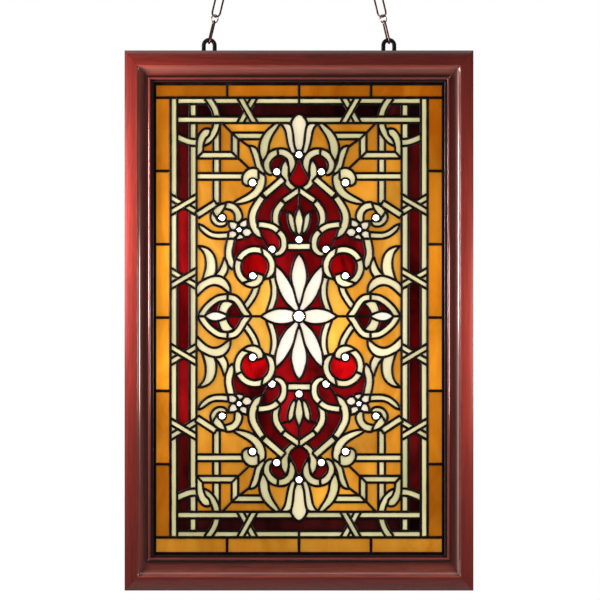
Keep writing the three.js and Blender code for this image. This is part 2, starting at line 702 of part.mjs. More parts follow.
for (const [side, label] of [[1, "right"], [-1, "left"]]) {
  place(`hanging_eye_${label}`, hangingEye(side), MATERIALS.blackIron);
  for (const [name, geometry] of chain(side, label)) place(name, geometry, MATERIALS.bronze);
}

export default part;
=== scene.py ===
"""A hanging stained glass panel: glass panes cut from one planar pattern, the solder between them, clear
jewels, a moulded wooden frame, hanging eyes, chains and hooks.

The pattern is drawn in millimetres (u to the right, v up) from the middle of the central flower. Its upper
right quarter is drawn once and mirrored to the other three. An outline runs along the middle of its seams.
"""

import math

import bpy
import numpy as np
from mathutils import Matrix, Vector
from mathutils.geometry import delaunay_2d_cdt


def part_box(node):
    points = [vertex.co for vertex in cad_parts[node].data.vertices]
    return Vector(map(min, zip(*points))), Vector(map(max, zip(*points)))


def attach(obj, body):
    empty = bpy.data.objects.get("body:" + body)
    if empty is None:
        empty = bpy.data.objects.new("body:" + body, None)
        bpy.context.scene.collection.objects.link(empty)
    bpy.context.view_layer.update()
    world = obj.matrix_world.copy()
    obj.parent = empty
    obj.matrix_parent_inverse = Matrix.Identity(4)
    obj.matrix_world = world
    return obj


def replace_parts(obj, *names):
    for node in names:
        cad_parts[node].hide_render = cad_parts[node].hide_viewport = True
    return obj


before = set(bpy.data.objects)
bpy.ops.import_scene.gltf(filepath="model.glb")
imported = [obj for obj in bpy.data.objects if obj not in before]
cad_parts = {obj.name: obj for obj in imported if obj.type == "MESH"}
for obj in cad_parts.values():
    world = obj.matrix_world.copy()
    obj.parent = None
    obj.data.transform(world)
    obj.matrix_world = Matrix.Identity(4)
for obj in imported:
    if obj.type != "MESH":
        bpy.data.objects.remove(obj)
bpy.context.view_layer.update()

MM = 0.001
SEAM = 3.0  # width of a solder seam between two panes
LOWER_STRETCH = 1.012  # the lower half of the pattern is this much taller than the upper
RIGHT, TOP = 182.5, 310.2  # the pattern's outer seams, where the border tiles start
QUARTERS = [(1, 1), (-1, 1), (-1, -1), (1, -1)]
random = np.random.default_rng(11)

jewel_low, jewel_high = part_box("flower_jewel")
MIDDLE = (jewel_low[2] + jewel_high[2]) / 2  # height of the pattern's middle
_, frame_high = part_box("frame_rail_top")


# ---- curves and outlines ----


def smooth(points, step=3.0):
    """Points along a smooth curve through the given ones, about step apart."""
    p = np.array(points, float)
    if len(p) < 3:
        return p
    chord = np.linalg.norm(np.diff(p[:, :2], axis=0), axis=1)
    d = np.sqrt(chord)[:, None]
    slope = np.diff(p, axis=0) / d
    m = np.empty_like(p)
    m[1:-1] = (slope[:-1] * d[1:] + slope[1:] * d[:-1]) / (d[:-1] + d[1:])
    m[0] = 2 * slope[0] - m[1]
    m[-1] = 2 * slope[-1] - m[-2]
    out = []
    for i in range(len(p) - 1):
        n = max(1, round(chord[i] / step))
        for k in range(n):
            s = k / n
            out.append(
                (2 * s**3 - 3 * s**2 + 1) * p[i]
                + (s**3 - 2 * s**2 + s) * d[i] * m[i]
                + (3 * s**2 - 2 * s**3) * p[i + 1]
                + (s**3 - s**2) * d[i] * m[i + 1]
            )
    return np.array(out + [p[-1]])


def band(*stations, square=False):
    """Outline of a band along a curve through stations of (u, v, glass width); a width of 0 is a point."""
    made = [(u, v, (w + SEAM) / 2 if w else 0) for u, v, w in stations]
    s = np.array(made, float) if square else smooth(made)
    tangent = np.gradient(s[:, :2], axis=0)
    tangent /= np.linalg.norm(tangent, axis=1)[:, None]
    normal = np.stack([-tangent[:, 1], tangent[:, 0]], axis=1)
    half = np.maximum(s[:, 2:], 0)
    left = s[:, :2] + normal * half
    right = (s[:, :2] - normal * half)[half[:, 0] > 0]
    return np.concatenate([left, right[::-1]])


def straight(u0, v0, u1, v1, width):
    return band((u0, v0, width), (u1, v1, width))


def rectangle(u0, v0, u1, v1):
    return np.array([(u0, v0), (u1, v0), (u1, v1), (u0, v1)], float)


def disc(u, v, radius, sides=24):
    turn = (np.arange(sides) + 0.5) / sides * 2 * math.pi
    return np.stack([u + radius * np.cos(turn), v + radius * np.sin(turn)], axis=1)


def grown(points, distance=SEAM / 2):
    """A closed outline with every side moved outwards."""
    p = np.array(points, float)
    after = np.roll(p, -1, axis=0) - p
    area = np.sum(p[:, 0] * np.roll(p[:, 1], -1) - np.roll(p[:, 0], -1) * p[:, 1])
    normal = np.stack([after[:, 1], -after[:, 0]], axis=1) * math.copysign(1, area)
    normal /= np.linalg.norm(normal, axis=1)[:, None]
    joint = normal + np.roll(normal, 1, axis=0)
    joint /= np.linalg.norm(joint, axis=1)[:, None]
    return p + joint * (distance / np.maximum(0.45, np.einsum("ij,ij->i", joint, normal)))[:, None]


def sheet(*runs):
    """A pane's outline from its glass edge, given as smooth runs that meet in corners."""
    made = []
    for run in runs:
        part = smooth(run)
        made.extend(part[1:] if made and np.allclose(made[-1], part[0]) else part)
    return grown(made[:-1] if np.allclose(made[0], made[-1]) else made)


UPRIGHT, LEVEL = 0, 1


def mirrored(half, axis=UPRIGHT):
    """A closed outline from the half of it on one side of an axis, where it starts and ends."""
    s = np.array(half, float)
    other = s[s[:, axis] > 1e-6][::-1] * ((-1, 1) if axis == UPRIGHT else (1, -1))
    return np.concatenate([s, other])


# ---- the pattern of one quarter, from the bottom layer to the top ----

PAST = -5  # how far what crosses an axis of the pattern is drawn past it
UPPER_STRAP, LOWER_STRAP = (301.1, TOP), (274.3, 283.5)  # edges of the level straps
INNER_STRAP, OUTER_STRAP = (145.6, 155.3), (173, RIGHT)  # edges of the upright straps
CROSSINGS, CROSSING_RISE, CROSSING_HALF = (53.6, 158.3), 10.8, 4.75
RING_U, RING_V, RING_TURN = 62.7, 70, 24.6  # middle of the side ring and the radius of its strap
RING_MEETING = math.radians(23.5)  # where the ring's strap is cut


def of(kind, *outlines):
    """Outlines or courses for one kind of glass, in order."""
    return [(kind, outline) for outline in outlines]


def grounds():
    """The three broad grounds under the straps."""
    inner, outer, low, high = INNER_STRAP[1], OUTER_STRAP[0], LOWER_STRAP[1], UPPER_STRAP[0]
    amber = rectangle(PAST, PAST, INNER_STRAP[0], LOWER_STRAP[0])
    strips = [(inner, PAST), (outer, PAST), (outer, high), (PAST, high), (PAST, low), (inner, low)]
    red = [
        (PAST, PAST), (PAST, 222), (10, 226), (17, 230), (30, 233), (42, 226), (46, 213), (38, 203),
        (24, 193), (51, 171), (61.5, 155), (66, 137), (62, 122), (72, 115), (84, 113), (97, 112),
        (99.8, 93), (97.5, 78), (87, 62), (72, 47.5), (57, 51), (43, 56), (35, 40), (37, 20), (45, PAST),
    ]
    return of("amber", amber) + of("strip", np.array(strips)) + of("red", np.array(red))


def border_straps():
    """The straight straps, the corner's ring and the bands that cross between the straps."""
    inner, outer, low, high = INNER_STRAP[0], OUTER_STRAP[1], LOWER_STRAP[0], UPPER_STRAP[1]
    found = [
        rectangle(PAST, UPPER_STRAP[0], OUTER_STRAP[0], high),
        rectangle(inner, PAST, INNER_STRAP[1], UPPER_STRAP[0]),
        straight(117.2, 160, 117.2, 275, 6.5),
        band((130.5, 311, 6.6), (127.5, 307, 6.6), (121, 297, 6.6), (117, 285, 6.8), (117, 274, 7),
             (119, 265, 7), (126.5, 253, 7), (135, 247, 7), (147, 246.6, 7), (155, 247.4, 7),
             (163, 250, 7), (174, 255, 7)),
        rectangle(9, low, OUTER_STRAP[0], LOWER_STRAP[1]),
        rectangle(OUTER_STRAP[0], PAST, outer, high),
        np.array([(58.8, high), (68.4, high), (88.3, low), (78.7, low)]),
        np.array([(78.8, high), (88.4, high), (68, low), (58.4, low)]),
    ]
    for v in CROSSINGS:
        for way in (1, -1):
            left, right = v - CROSSING_RISE * way, v + CROSSING_RISE * way
            found.append(np.array([(inner, left - CROSSING_HALF), (outer, right - CROSSING_HALF),
                                   (outer, right + CROSSING_HALF), (inner, left + CROSSING_HALF)]))
    return of("cream", *found)


def lattice():
    """The bent straps woven in the corner."""
    inner = INNER_STRAP[0]
    return of(
        "cream",
        straight(76, 198.5, inner, 198.5, 6.3),
        band((118, 160.8, 6.4), (131, 152.4, 6.4), (inner, 143, 6.4)),
        band((141.1, 224.3, 6), (141.1, 232, 6), (140.8, 240, 6.3), (139.8, 248, 7.5),
             (136.5, 256, 8.5), (130.5, 262, 8), (125.5, 265.5, 0)),
        np.array([(50, 260.7), (95.7, 260.7), (95.7, 233.3), (136.8, 233.3), (inner, 223.9),
                  (86.3, 223.9), (86.3, 251.3), (50, 251.3)]),
    )


def lily():
    """The lily at the top, the long leaves beside it and the ring of straps under it."""
    petal = sheet(
        [(6, 233.5), (7.8, 242), (8.7, 250), (9.3, 258), (10, 265), (12.5, 270.3), (17, 272.8)],
        [(17, 272.8), (24.3, 272.8)],
        [(24.3, 272.8), (20.5, 268.5), (18, 262.5), (16.5, 255), (15.2, 248), (13.2, 240),
         (10.5, 233.5), (8.5, 231.5)],
    )
    centre = mirrored([(0, 286), (4, 284), (7, 280.5), (9.5, 276), (10, 272), (8.2, 266), (7, 258),
                       (6.3, 250), (5.5, 244), (4, 239), (1.5, 233), (0, 233)])
    kite = mirrored([(0, 224), (3.8, 219), (6, 210.6), (9.5, 204.6), (14.2, 195), (11, 189),
                     (5.6, 184.6), (0, 183)])
    return of(
        "cream",
        band((48.5, 204.5, 4), (52.5, 206.5, 5), (57, 213, 6), (59.5, 222, 6), (62, 231, 6.5),
             (65.5, 237.5, 5), (71.5, 242, 0)),
        band((37.5, 202, 1), (43, 205.5, 5), (46, 213, 7), (45, 220.5, 7.5), (41.5, 226, 8),
             (36.5, 230.5, 8), (30, 233, 7)),
        band((13, 199, 0), (10, 208, 7), (10, 217, 8), (12.3, 225, 8), (17, 229.8, 8.3),
             (22.5, 232.5, 8), (30, 233, 7)),
        sheet([(28.8, 272.8), (33, 266), (38, 258.5), (41.5, 251), (44, 243), (44.8, 236),
               (46.5, 230.5), (51.3, 222)],
              [(51.3, 222), (53.8, 228.5), (55.3, 236), (54.8, 243), (52.8, 250), (49.3, 257),
               (45, 262.5), (39.5, 267.5), (33, 272.8)]),
    ) + of("lily", petal, grown(centre)) + of(
        "cream",
        band((19, 222.5, 0), (19.8, 214, 6.5), (20.3, 206, 8.5), (20.3, 199.5, 8), (18.5, 193.5, 7.5),
             (14.5, 187.5, 7), (9, 182.5, 6), (3, 180, 4)),
    ) + of("red_kite", kite) + of("jewel", disc(31.7, 205.3, 6.4), disc(0, 229.5, 6.4))


def crossing_bands():
    """The bands that shut in the red field, the bud between them and the bar under it."""
    return of(
        "cream",
        band((51.8, 169.5, 7), (57, 162.3, 7.5), (61.5, 155, 8), (65, 147.5, 8.3), (66.3, 140, 8.5),
             (65.5, 131, 8.5), (61.5, 122, 8.5), (57, 115.5, 4.5), (51.8, 110, 0)),
        straight(22, 195.5, 50.2, 171.2, 7.2),
        band((22.5, 162.5, 7), (28, 155.5, 7), (32, 148.5, 7.5), (33.5, 140, 7), (32.8, 133.5, 6.5),
             (28, 126, 3)),
        straight(-1, 179.8, 22.6, 163.4, 6),
        band((29.5, 120, 6.8), (35, 125, 6.8), (41.5, 128, 6.8), (48.5, 129.3, 6.8),
             (58.5, 130.2, 6.8)),
        band((29.5, 120.5, 6.5), (23.3, 113, 7), (21.5, 106, 7), (21.5, 99, 7), (24, 93.5, 6.5),
             (28.5, 89.5, 5.5), (35.5, 88.3, 3)),
        mirrored([(0, 156), (3.2, 149), (5.8, 141), (6.8, 135), (6.2, 128), (3.6, 119), (0, 113)]),
        band((15.5, 149, 0), (12, 141, 5.5), (10.8, 134, 5.8), (9.2, 127, 5), (7.2, 121, 3),
             (5.2, 116, 0)),
        rectangle(PAST, 94, 16.7, 104.2),
    ) + of("jewel", disc(38.5, 95, 6.5), disc(0, 109, 6.4))


def side_ring():
    """The side ring with the strap that shuts it, the strap over it and the stems under it."""
    turns = np.radians(np.linspace(-70, 160, 24))
    ring = [(RING_U + RING_TURN * math.cos(t), RING_V + RING_TURN * math.sin(t), 7) for t in turns]
    ring += [(38.2, 70, 7), (40, 62.5, 6.5), (44, 57, 4), (49.5, 53.5, 0)]
    return of(
        "cream",
        band((96, 112, 7.5), (98.5, 100.5, 8), (99.8, 93, 7.7), (99.6, 86, 8), (98.2, 80, 8.4),
             (96.2, 73, 6), (94.3, 66, 0)),
        band((38, 55.5, 6), (35.8, 47, 6), (35, 40, 6), (35.2, 30, 6), (37.3, 20, 6), (41, 10, 5.5),
             (44, 2, 5)),
        band((60, 46, 6), (63, 34, 6), (67.5, 25.5, 6), (73, 17.5, 6), (77.5, 12, 6)),
    ) + of("red_disc", disc(RING_U, RING_V, 22.4, 40)) + of(
        "cream",
        band(*ring),
        sheet([(52.3, 57.4), (51.9, 53.5), (55.4, 46.5), (63.4, 42.4), (70.5, 42.9), (77.6, 46.3)],
              [(77.6, 46.3), (72, 48), (65.5, 50.3), (60.3, 54.3), (58.6, 59.6)],
              [(58.6, 59.6), (52.3, 57.4)]),
    ) + of("jewel", disc(65.8, 57.5, 6.4))


def eye_and_leaves():
    """The eye on the level axis, the arch over it and the two leaves over that."""
    iris = mirrored([(74, 0), (79.5, 8.5), (84, 15.5), (88, 20.5), (93, 25), (101.5, 27), (108.5, 26.3),
                     (114.5, 25), (120, 21.8), (125.7, 17.5), (131, 12.3), (138.5, 0)], LEVEL)
    lens = mirrored(smooth([(103, 0), (104.5, 1.3), (108, 2.8), (113, 4.7), (118, 5.6), (124, 5),
                            (129, 2.8), (132.5, 0)]), LEVEL)
    return of(
        "cream",
        sheet([(106, 81), (103.5, 75), (102.3, 69), (103.5, 63), (107, 57.2), (110.5, 51.5)],
              [(110.5, 51.5), (124, 51)],
              [(124, 51), (119, 57.5), (113, 64), (108.5, 73), (106, 81)]),
        sheet([(140.8, 98.3), (130.5, 95.2), (124.5, 90), (121, 84), (119.3, 77), (118.8, 70),
               (119.5, 63), (122.3, 57), (126, 50)],
              [(126, 50), (139, 46)],
              [(139, 46), (136.3, 51.3), (133.5, 60), (131.5, 68), (131, 76), (132, 84), (134.5, 91),
               (140.8, 98.3)]),
        sheet([(98.7, 34.3), (99.3, 41), (101.5, 46.5), (106, 52), (112, 55.2), (118, 56), (125, 54.7),
               (132, 51.8), (138, 48.7), (141.5, 46)],
              [(141.5, 46), (144.1, 42.5), (144.1, 31)],
              [(144.1, 31), (139, 36), (134, 40.5), (128, 44), (121, 45.8), (114, 44.6), (108, 41.5),
               (103, 37.5), (98.7, 34.3)]),
    ) + of("red_eye", iris) + of(
        "cream",
        band((71.4, -3, 6.8), (74.2, 2, 6.8), (78.5, 7.5, 6.8), (82.5, 14.5, 6.8), (87, 21, 6.8),
             (92, 25.3, 6.8), (101.5, 26.9, 6.8)),
        band((101.5, 26.9, 6.5), (108.5, 26.3, 6.5), (114.5, 25, 6.5), (120, 21.8, 6.5),
             (125.7, 17.5, 6.5), (131, 12.3, 6.5), (135, 7.3, 6.5), (139, 0, 6.5), (140.3, -4, 6.5)),
        sheet([(94.5, 17.6), (99, 19.9), (104, 20.5), (108.5, 19.5)],
              [(108.5, 19.5), (111.5, 14), (113.2, 7)],
              [(113.2, 7), (108, 5.2), (103.5, 4)],
              [(103.5, 4), (101.5, 9), (98.5, 13.5), (94.5, 17.6)]),
    ) + of("white", grown(lens))


def scrolls():
    """Scrolls, the spiral and the small flower."""
    return of(
        "cream",
        sheet([(92, 160.5), (82.7, 161.1), (72.5, 163.8), (65.9, 166.8), (59.4, 171), (54.1, 176.9),
               (50.5, 184), (48.9, 192.5), (49.5, 199)],
              [(49.5, 199), (56, 203.5)],
              [(56, 203.5), (56, 195.5)],
              [(56, 195.5), (58.5, 191.5), (60.2, 186), (61.9, 182.1), (65.6, 177.4), (70.1, 173.6),
               (75.5, 170.2), (84.4, 165.3), (92, 160.5)]),
        sheet([(59, 207.5), (64, 209.2), (69, 208.7), (74, 206), (78, 201), (79.5, 195), (78.5, 189.5),
               (75, 187), (73, 186.5)],
              [(73, 186.5), (73.5, 191), (71.5, 194.5), (68, 196.8), (64, 196), (61, 194.5),
               (59, 195.5)]),
        sheet([(87, 134), (82, 140), (83.5, 148), (88, 155), (94, 159.5), (103, 160.5)],
              [(103, 160.5), (105, 154)],
              [(105, 154), (100, 153), (95, 151), (91, 146), (90, 140), (90, 134)]),
        band((119.5, 147.5, 5), (121.7, 140, 5.5), (119.5, 134.8, 5), (115, 131.5, 4.5),
             (110, 130.7, 4), (105.5, 132.3, 3), (102, 136.5, 0)),
        sheet([(105.5, 159), (107.8, 153), (112, 147), (116.8, 141.8)],
              [(116.8, 141.8), (119.5, 145.5), (121.3, 149.3)],
              [(121.3, 149.3), (117.5, 153.8), (112, 157.3), (105.5, 159)]),
        band((100.5, 115, 6), (111, 114.3, 6), (120, 114.7, 5.5), (127, 117, 5.3), (133.5, 121.5, 5),
             (139, 126.5, 3.3), (143.5, 131, 0)),
    ) + of(
        "bloom",
        grown([(75, 136.5), (80, 135), (84, 131.5), (83, 128), (78, 127), (74.5, 129)]),
        grown([(88, 131), (92, 133), (98.5, 133.5), (98, 128), (95.5, 123.5), (92, 123), (89, 128)]),
        grown([(94, 121), (98.5, 119.5), (99.5, 111.5), (93, 111.5), (89, 115), (90, 119)]),
        grown([(84, 116.5), (88.5, 111), (87, 109.5), (80, 111), (79.5, 113)]),
        grown([(67.5, 118.5), (70, 123), (75, 124.5), (79, 122), (80, 118.5), (77, 114), (72, 114)]),
    ) + of("bead", disc(85, 122.8, 5)) + of("jewel", disc(66, 189.8, 6.6), disc(109.3, 140, 6.2))


def flower():
    """The petals of the central flower and its jewel."""
    up = mirrored(smooth([(0, 87), (4.8, 80), (8, 70), (10, 60), (9.5, 50), (6.7, 40), (4, 30), (2, 22),
                          (0, 16)]))
    out = mirrored([(5, 0), *smooth([(7, 5.5), (9.5, 7), (15, 8.6), (20, 9.4), (27, 9.6), (35, 8.5),
                                     (40, 6.8), (46, 3.9), (52, 0)])], LEVEL)
    between = sheet(
        [(1.5, 6), (1.5, 13), (3.2, 20), (5.8, 30), (10.2, 40), (15.4, 50), (22.3, 60), (26.5, 65),
         (32, 69.8)],
        [(32, 69.8), (32.7, 60), (31.3, 50), (28.3, 40), (24, 30), (17.5, 20), (12, 14.5), (7.2, 9.8)],
        [(7.2, 9.8), (1.5, 6)],
    )
    return of("white", between, grown(out), grown(up)) + of("jewel", disc(0, 0, 9, 32))


def shapes():
    made = grounds() + border_straps() + lattice() + lily() + crossing_bands() + side_ring()
    return made + eye_and_leaves() + scrolls() + flower()


# Seams inside one pane colour: the glass that they cut, then their courses.
CUTS = of(
    "cream",
    [(0, 300), (0, 311)],
    [(86.2, 251.2), (95.8, 260.8)],
    [(86.2, 223.8), (95.8, 233.4)],
) + of(
    "amber",
    [(110, 275), (96, 260.5), (86, 252), (71, 240.8)],
    [(97, 232.5), (88, 226), (70, 209)],
) + of(
    "cream",
    [(30, 226), (30, 240)],
    [(0, 172), (0, 184)],
) + of(
    "red",
    [(0, 155), (0, 176)],
    [(16.5, 147.5), (27, 151)],
    [(52, 112), (44, 98)],
) + of(
    "amber",
    [(52, 0), (76, 0)],
    [(136, 0), (147, 0)],
) + of(
    "cream",
    [(66, 0), (80, 0)],
    [(132, 0), (146, 0)],
) + of("red_eye", [(76, 0), (103, 0)]) + of("white", [(0, 8), (0, 17.5)]) + of(
    "cream",
    [(101.5, 20), (101.5, 33)],
    [(51.3, 86), (54.4, 100)],
    [(RING_U + r * math.cos(RING_MEETING), RING_V + r * math.sin(RING_MEETING)) for r in (19, 29.5)],
)


# ---- panes and seams from the pattern ----


def to_quarter(u, v, su, sv):
    """A point of the upper right quarter moved to its place in another quarter."""
    return u * su, v * sv * (LOWER_STRETCH if sv < 0 else 1)


def inside(points, outline):
    """Which points lie inside an outline, by winding number."""
    x, y = points[:, 0][:, None], points[:, 1][:, None]
    a, b = outline, np.roll(outline, -1, axis=0)
    side = (b[:, 0] - a[:, 0]) * (y - a[:, 1]) - (x - a[:, 0]) * (b[:, 1] - a[:, 1])
    up = (a[:, 1] <= y) & (b[:, 1] > y) & (side > 0)
    down = (a[:, 1] > y) & (b[:, 1] <= y) & (side < 0)
    return (up.sum(axis=1) - down.sum(axis=1)) != 0


def quarter_map():
    """Triangles of the quarter with the index of the top shape over each, and the edges on a cut."""
    drawn = shapes()
    points, edges, cut_of = [], [], {}

    def add(path, closed):
        start = len(points)
        points.extend(Vector(p) for p in path)
        for i in range(len(path) - (0 if closed else 1)):
            edges.append((start + i, start + (i + 1) % len(path)))

    add(rectangle(0, 0, RIGHT, TOP), True)
    for _, outline in drawn:
        add(outline, True)
    for kind, path in CUTS:
        first = len(edges)
        add(path, False)
        cut_of.update({e: kind for e in range(first, len(edges))})
    verts, made_edges, faces, _, edge_from, _ = delaunay_2d_cdt(points, edges, [], 0, 1e-4, True)
    verts = np.array([tuple(v) for v in verts])
    faces = np.array([f for f in faces if len(f) == 3])
    centre = verts[faces].mean(axis=1)
    within = (centre > 0).all(axis=1) & (centre[:, 0] < RIGHT) & (centre[:, 1] < TOP)
    faces, centre = faces[within], centre[within]
    label = np.full(len(faces), -1)
    for i, (_, outline) in enumerate(drawn):
        low, high = outline.min(axis=0), outline.max(axis=0)
        near = np.where(((centre >= low) & (centre <= high)).all(axis=1))[0]
        label[near[inside(centre[near], outline)]] = i
    cuts = {}
    for edge, sources in zip(made_edges, edge_from):
        kinds = {cut_of[s] for s in sources if s in cut_of}
        if kinds:
            cuts[frozenset(edge)] = kinds
    return [kind for kind, _ in drawn], verts, faces, label, cuts


def whole_map():
    """The four quarters welded: kinds, points, triangles, labels, seam edges and each triangle's pane."""
    kinds, verts, faces, label, cuts = quarter_map()
    index, points, tris, labels, cut_edges = {}, [], [], [], {}
    for su, sv in QUARTERS:
        here = []
        for u, v in verts:
            spot = to_quarter(u, v, su, sv)
            key = (round(spot[0], 3) + 0.0, round(spot[1], 3) + 0.0)
            if key not in index:
                index[key] = len(points)
                points.append(spot)
            here.append(index[key])
        for face, mark in zip(faces, label):
            tri = [here[i] for i in face]
            if len(set(tri)) == 3:
                tris.append(tri if su * sv > 0 else tri[::-1])
                labels.append(mark)
        for (a, b), names in cuts.items():
            cut_edges[frozenset((here[a], here[b]))] = names
    by_edge = {}
    for t, tri in enumerate(tris):
        for k in range(3):
            by_edge.setdefault(frozenset((tri[k], tri[(k + 1) % 3])), []).append(t)
    parent = list(range(len(tris)))

    def root(i):
        while parent[i] != i:
            parent[i] = parent[parent[i]]
            i = parent[i]
        return i

    seams = []
    for edge, owners in by_edge.items():
        if len(owners) == 2 and labels[owners[0]] == labels[owners[1]]:
            if kinds[labels[owners[0]]] not in cut_edges.get(edge, ()):
                parent[root(owners[0])] = root(owners[1])
                continue
        seams.append(tuple(edge))
    panes = [root(t) for t in range(len(tris))]
    return kinds, np.array(points), np.array(tris), labels, seams, panes


def chains_of(points, seams):
    """Seam edges strung into runs between junctions, and the junctions."""
    near = {}
    for a, b in seams:
        near.setdefault(a, []).append(b)
        near.setdefault(b, []).append(a)

    def sharp(i):
        a, b = near[i]
        p, q = points[a] - points[i], points[b] - points[i]
        return np.dot(p, q) / (np.linalg.norm(p) * np.linalg.norm(q) + 1e-9) > -0.75

    ends = {i for i, n in near.items() if len(n) != 2 or sharp(i)}
    left = {frozenset(s) for s in seams}
    runs = []

    def walk(a, b):
        run = [a, b]
        left.discard(frozenset((a, b)))
        while run[-1] not in ends and run[-1] != run[0]:
            ahead = [n for n in near[run[-1]] if frozenset((run[-1], n)) in left]
            if not ahead:
                break
            left.discard(frozenset((run[-1], ahead[0])))
            run.append(ahead[0])
        return run

    for end in ends:
        for other in near[end]:
            if frozenset((end, other)) in left:
                runs.append(walk(end, other))
    while left:
        runs.append(walk(*tuple(next(iter(left)))))
    return runs, [i for i in ends if len(near[i]) > 2]


# ---- meshes ----


class Mesh:
    """Points and faces gathered for one object."""

    def __init__(self):
        self.points, self.faces, self.values = [], [], []

    def add(self, points, faces, value=None):
        start = len(self.points)
        self.points.extend(points)
        self.faces.extend([start + i for i in f] for f in faces)
        self.values.extend([value] * len(faces))

    def build(self, name, material, smooth_faces=True, attribute=None):
        data = bpy.data.meshes.new(name)
        data.from_pydata([tuple(p) for p in self.points], [], self.faces)
        data.materials.append(material)
        data.polygons.foreach_set("use_smooth", [smooth_faces] * len(data.polygons))
        if smooth_faces:
            data.set_sharp_from_angle(angle=math.radians(42))
        if attribute:
            layer = data.attributes.new(attribute, "FLOAT_COLOR", "CORNER")
            colours = []
            for polygon, value in zip(data.polygons, self.values):
                colours.extend([*value, 1.0] * len(polygon.vertices))
            layer.data.foreach_set("color", np.array(colours, "f"))
        data.update()
        piece = bpy.data.objects.new(name, data)
        bpy.context.scene.collection.objects.link(piece)
        return piece


def place(u, y, v):
    """World place of a pattern point; y is in millimetres, towards the back."""
    return (u * MM, y * MM, MIDDLE + v * MM)


def steps_round(sides):
    """Angles round a circle."""
    return [2 * math.pi * k / sides for k in range(sides)]


def ring_faces(a, b, sides):
    """Faces between two rings of points that start at the indices a and b."""
    return [(a + k, b + k, b + (k + 1) % sides, a + (k + 1) % sides) for k in range(sides)]


def turned(mesh, u, v, radius, rings, sides):
    """A form turned about the depth axis, from rings of (share of the radius, depth) between two points."""
    places = [place(u, rings[0][1], v)]
    for share, depth in rings[1:-1]:
        reach = radius * share
        for turn in steps_round(sides):
            places.append(place(u + reach * math.cos(turn), depth, v + reach * math.sin(turn)))
    places.append(place(u, rings[-1][1], v))
    starts = [1 + r * sides for r in range(len(rings) - 2)]
    faces = [(0, 1 + k, 1 + (k + 1) % sides) for k in range(sides)]
    for a, b in zip(starts, starts[1:]):
        faces += ring_faces(a, b, sides)
    faces += [(len(places) - 1, starts[-1] + (k + 1) % sides, starts[-1] + k) for k in range(sides)]
    mesh.add(places, faces)


BEAD = [  # a seam's section: across, depth
    (-1.5, -0.9), (-1.15, -1.75), (-0.45, -2.25), (0.45, -2.25), (1.15, -1.75), (1.5, -0.9),
    (1.5, 0.9), (1.15, 1.6), (0.0, 2.0), (-1.15, 1.6), (-1.5, 0.9),
]
POOL = [(0.0, -2.5), (0.6, -2.4), (0.93, -1.9), (1.0, -0.6), (1.0, 0.6), (0.9, 1.6), (0.0, 2.1)]
THINNED_BY, LONGEST_STEP = 0.025, 6  # how far a bead may cut a curve's corner, and its longest step


def thinned(path):
    """A run without the stations that hardly lie off the line between those kept beside them."""
    kept = [path[0]]
    for here, following in zip(path[1:-1], path[2:]):
        chord, step = following - kept[-1], here - kept[-1]
        length = math.hypot(*chord)
        off = abs(chord[0] * step[1] - chord[1] * step[0])
        if length > LONGEST_STEP or off > THINNED_BY * length:
            kept.append(here)
    return np.array(kept + [path[-1]])


def bead_run(mesh, run, closed, swell, fullness):
    """A solder bead of gently varying width along a run of pattern points."""
    p = np.array(run, float)
    if closed:
        before, after = p - np.roll(p, 1, axis=0), np.roll(p, -1, axis=0) - p
    else:
        step = np.diff(p, axis=0)
        before, after = np.concatenate([step[:1], step]), np.concatenate([step, step[-1:]])
    before /= np.linalg.norm(before, axis=1)[:, None] + 1e-9
    after /= np.linalg.norm(after, axis=1)[:, None] + 1e-9
    ahead = before + after
    ahead /= np.linalg.norm(ahead, axis=1)[:, None] + 1e-9
    spread = 1 / np.maximum(0.8, np.einsum("ij,ij->i", ahead, after))
    places = []
    for (u, v), (du, dv), wide in zip(p, ahead, spread):
        long_wave = 0.05 * math.sin(0.31 * u + 0.23 * v + swell)
        short_wave = 0.04 * math.sin(0.9 * v - 0.7 * u + 2 * swell)
        size = 1 + long_wave + short_wave
        for across, depth in BEAD:
            reach = across * wide * size * fullness
            places.append(place(u - dv * reach, depth * (0.9 + 0.1 * size), v + du * reach))
    n = len(BEAD)
    faces = []
    for i in range(len(p) - (0 if closed else 1)):
        j = (i + 1) % len(p)
        faces += [(i * n + k, i * n + (k + 1) % n, j * n + (k + 1) % n, j * n + k) for k in range(n)]
    if not closed:
        faces += [tuple(range(n))[::-1], tuple(range((len(p) - 1) * n, len(p) * n))]
    mesh.add(places, faces)


# ---- materials ----


def grey(value):
    return (value, value, value)


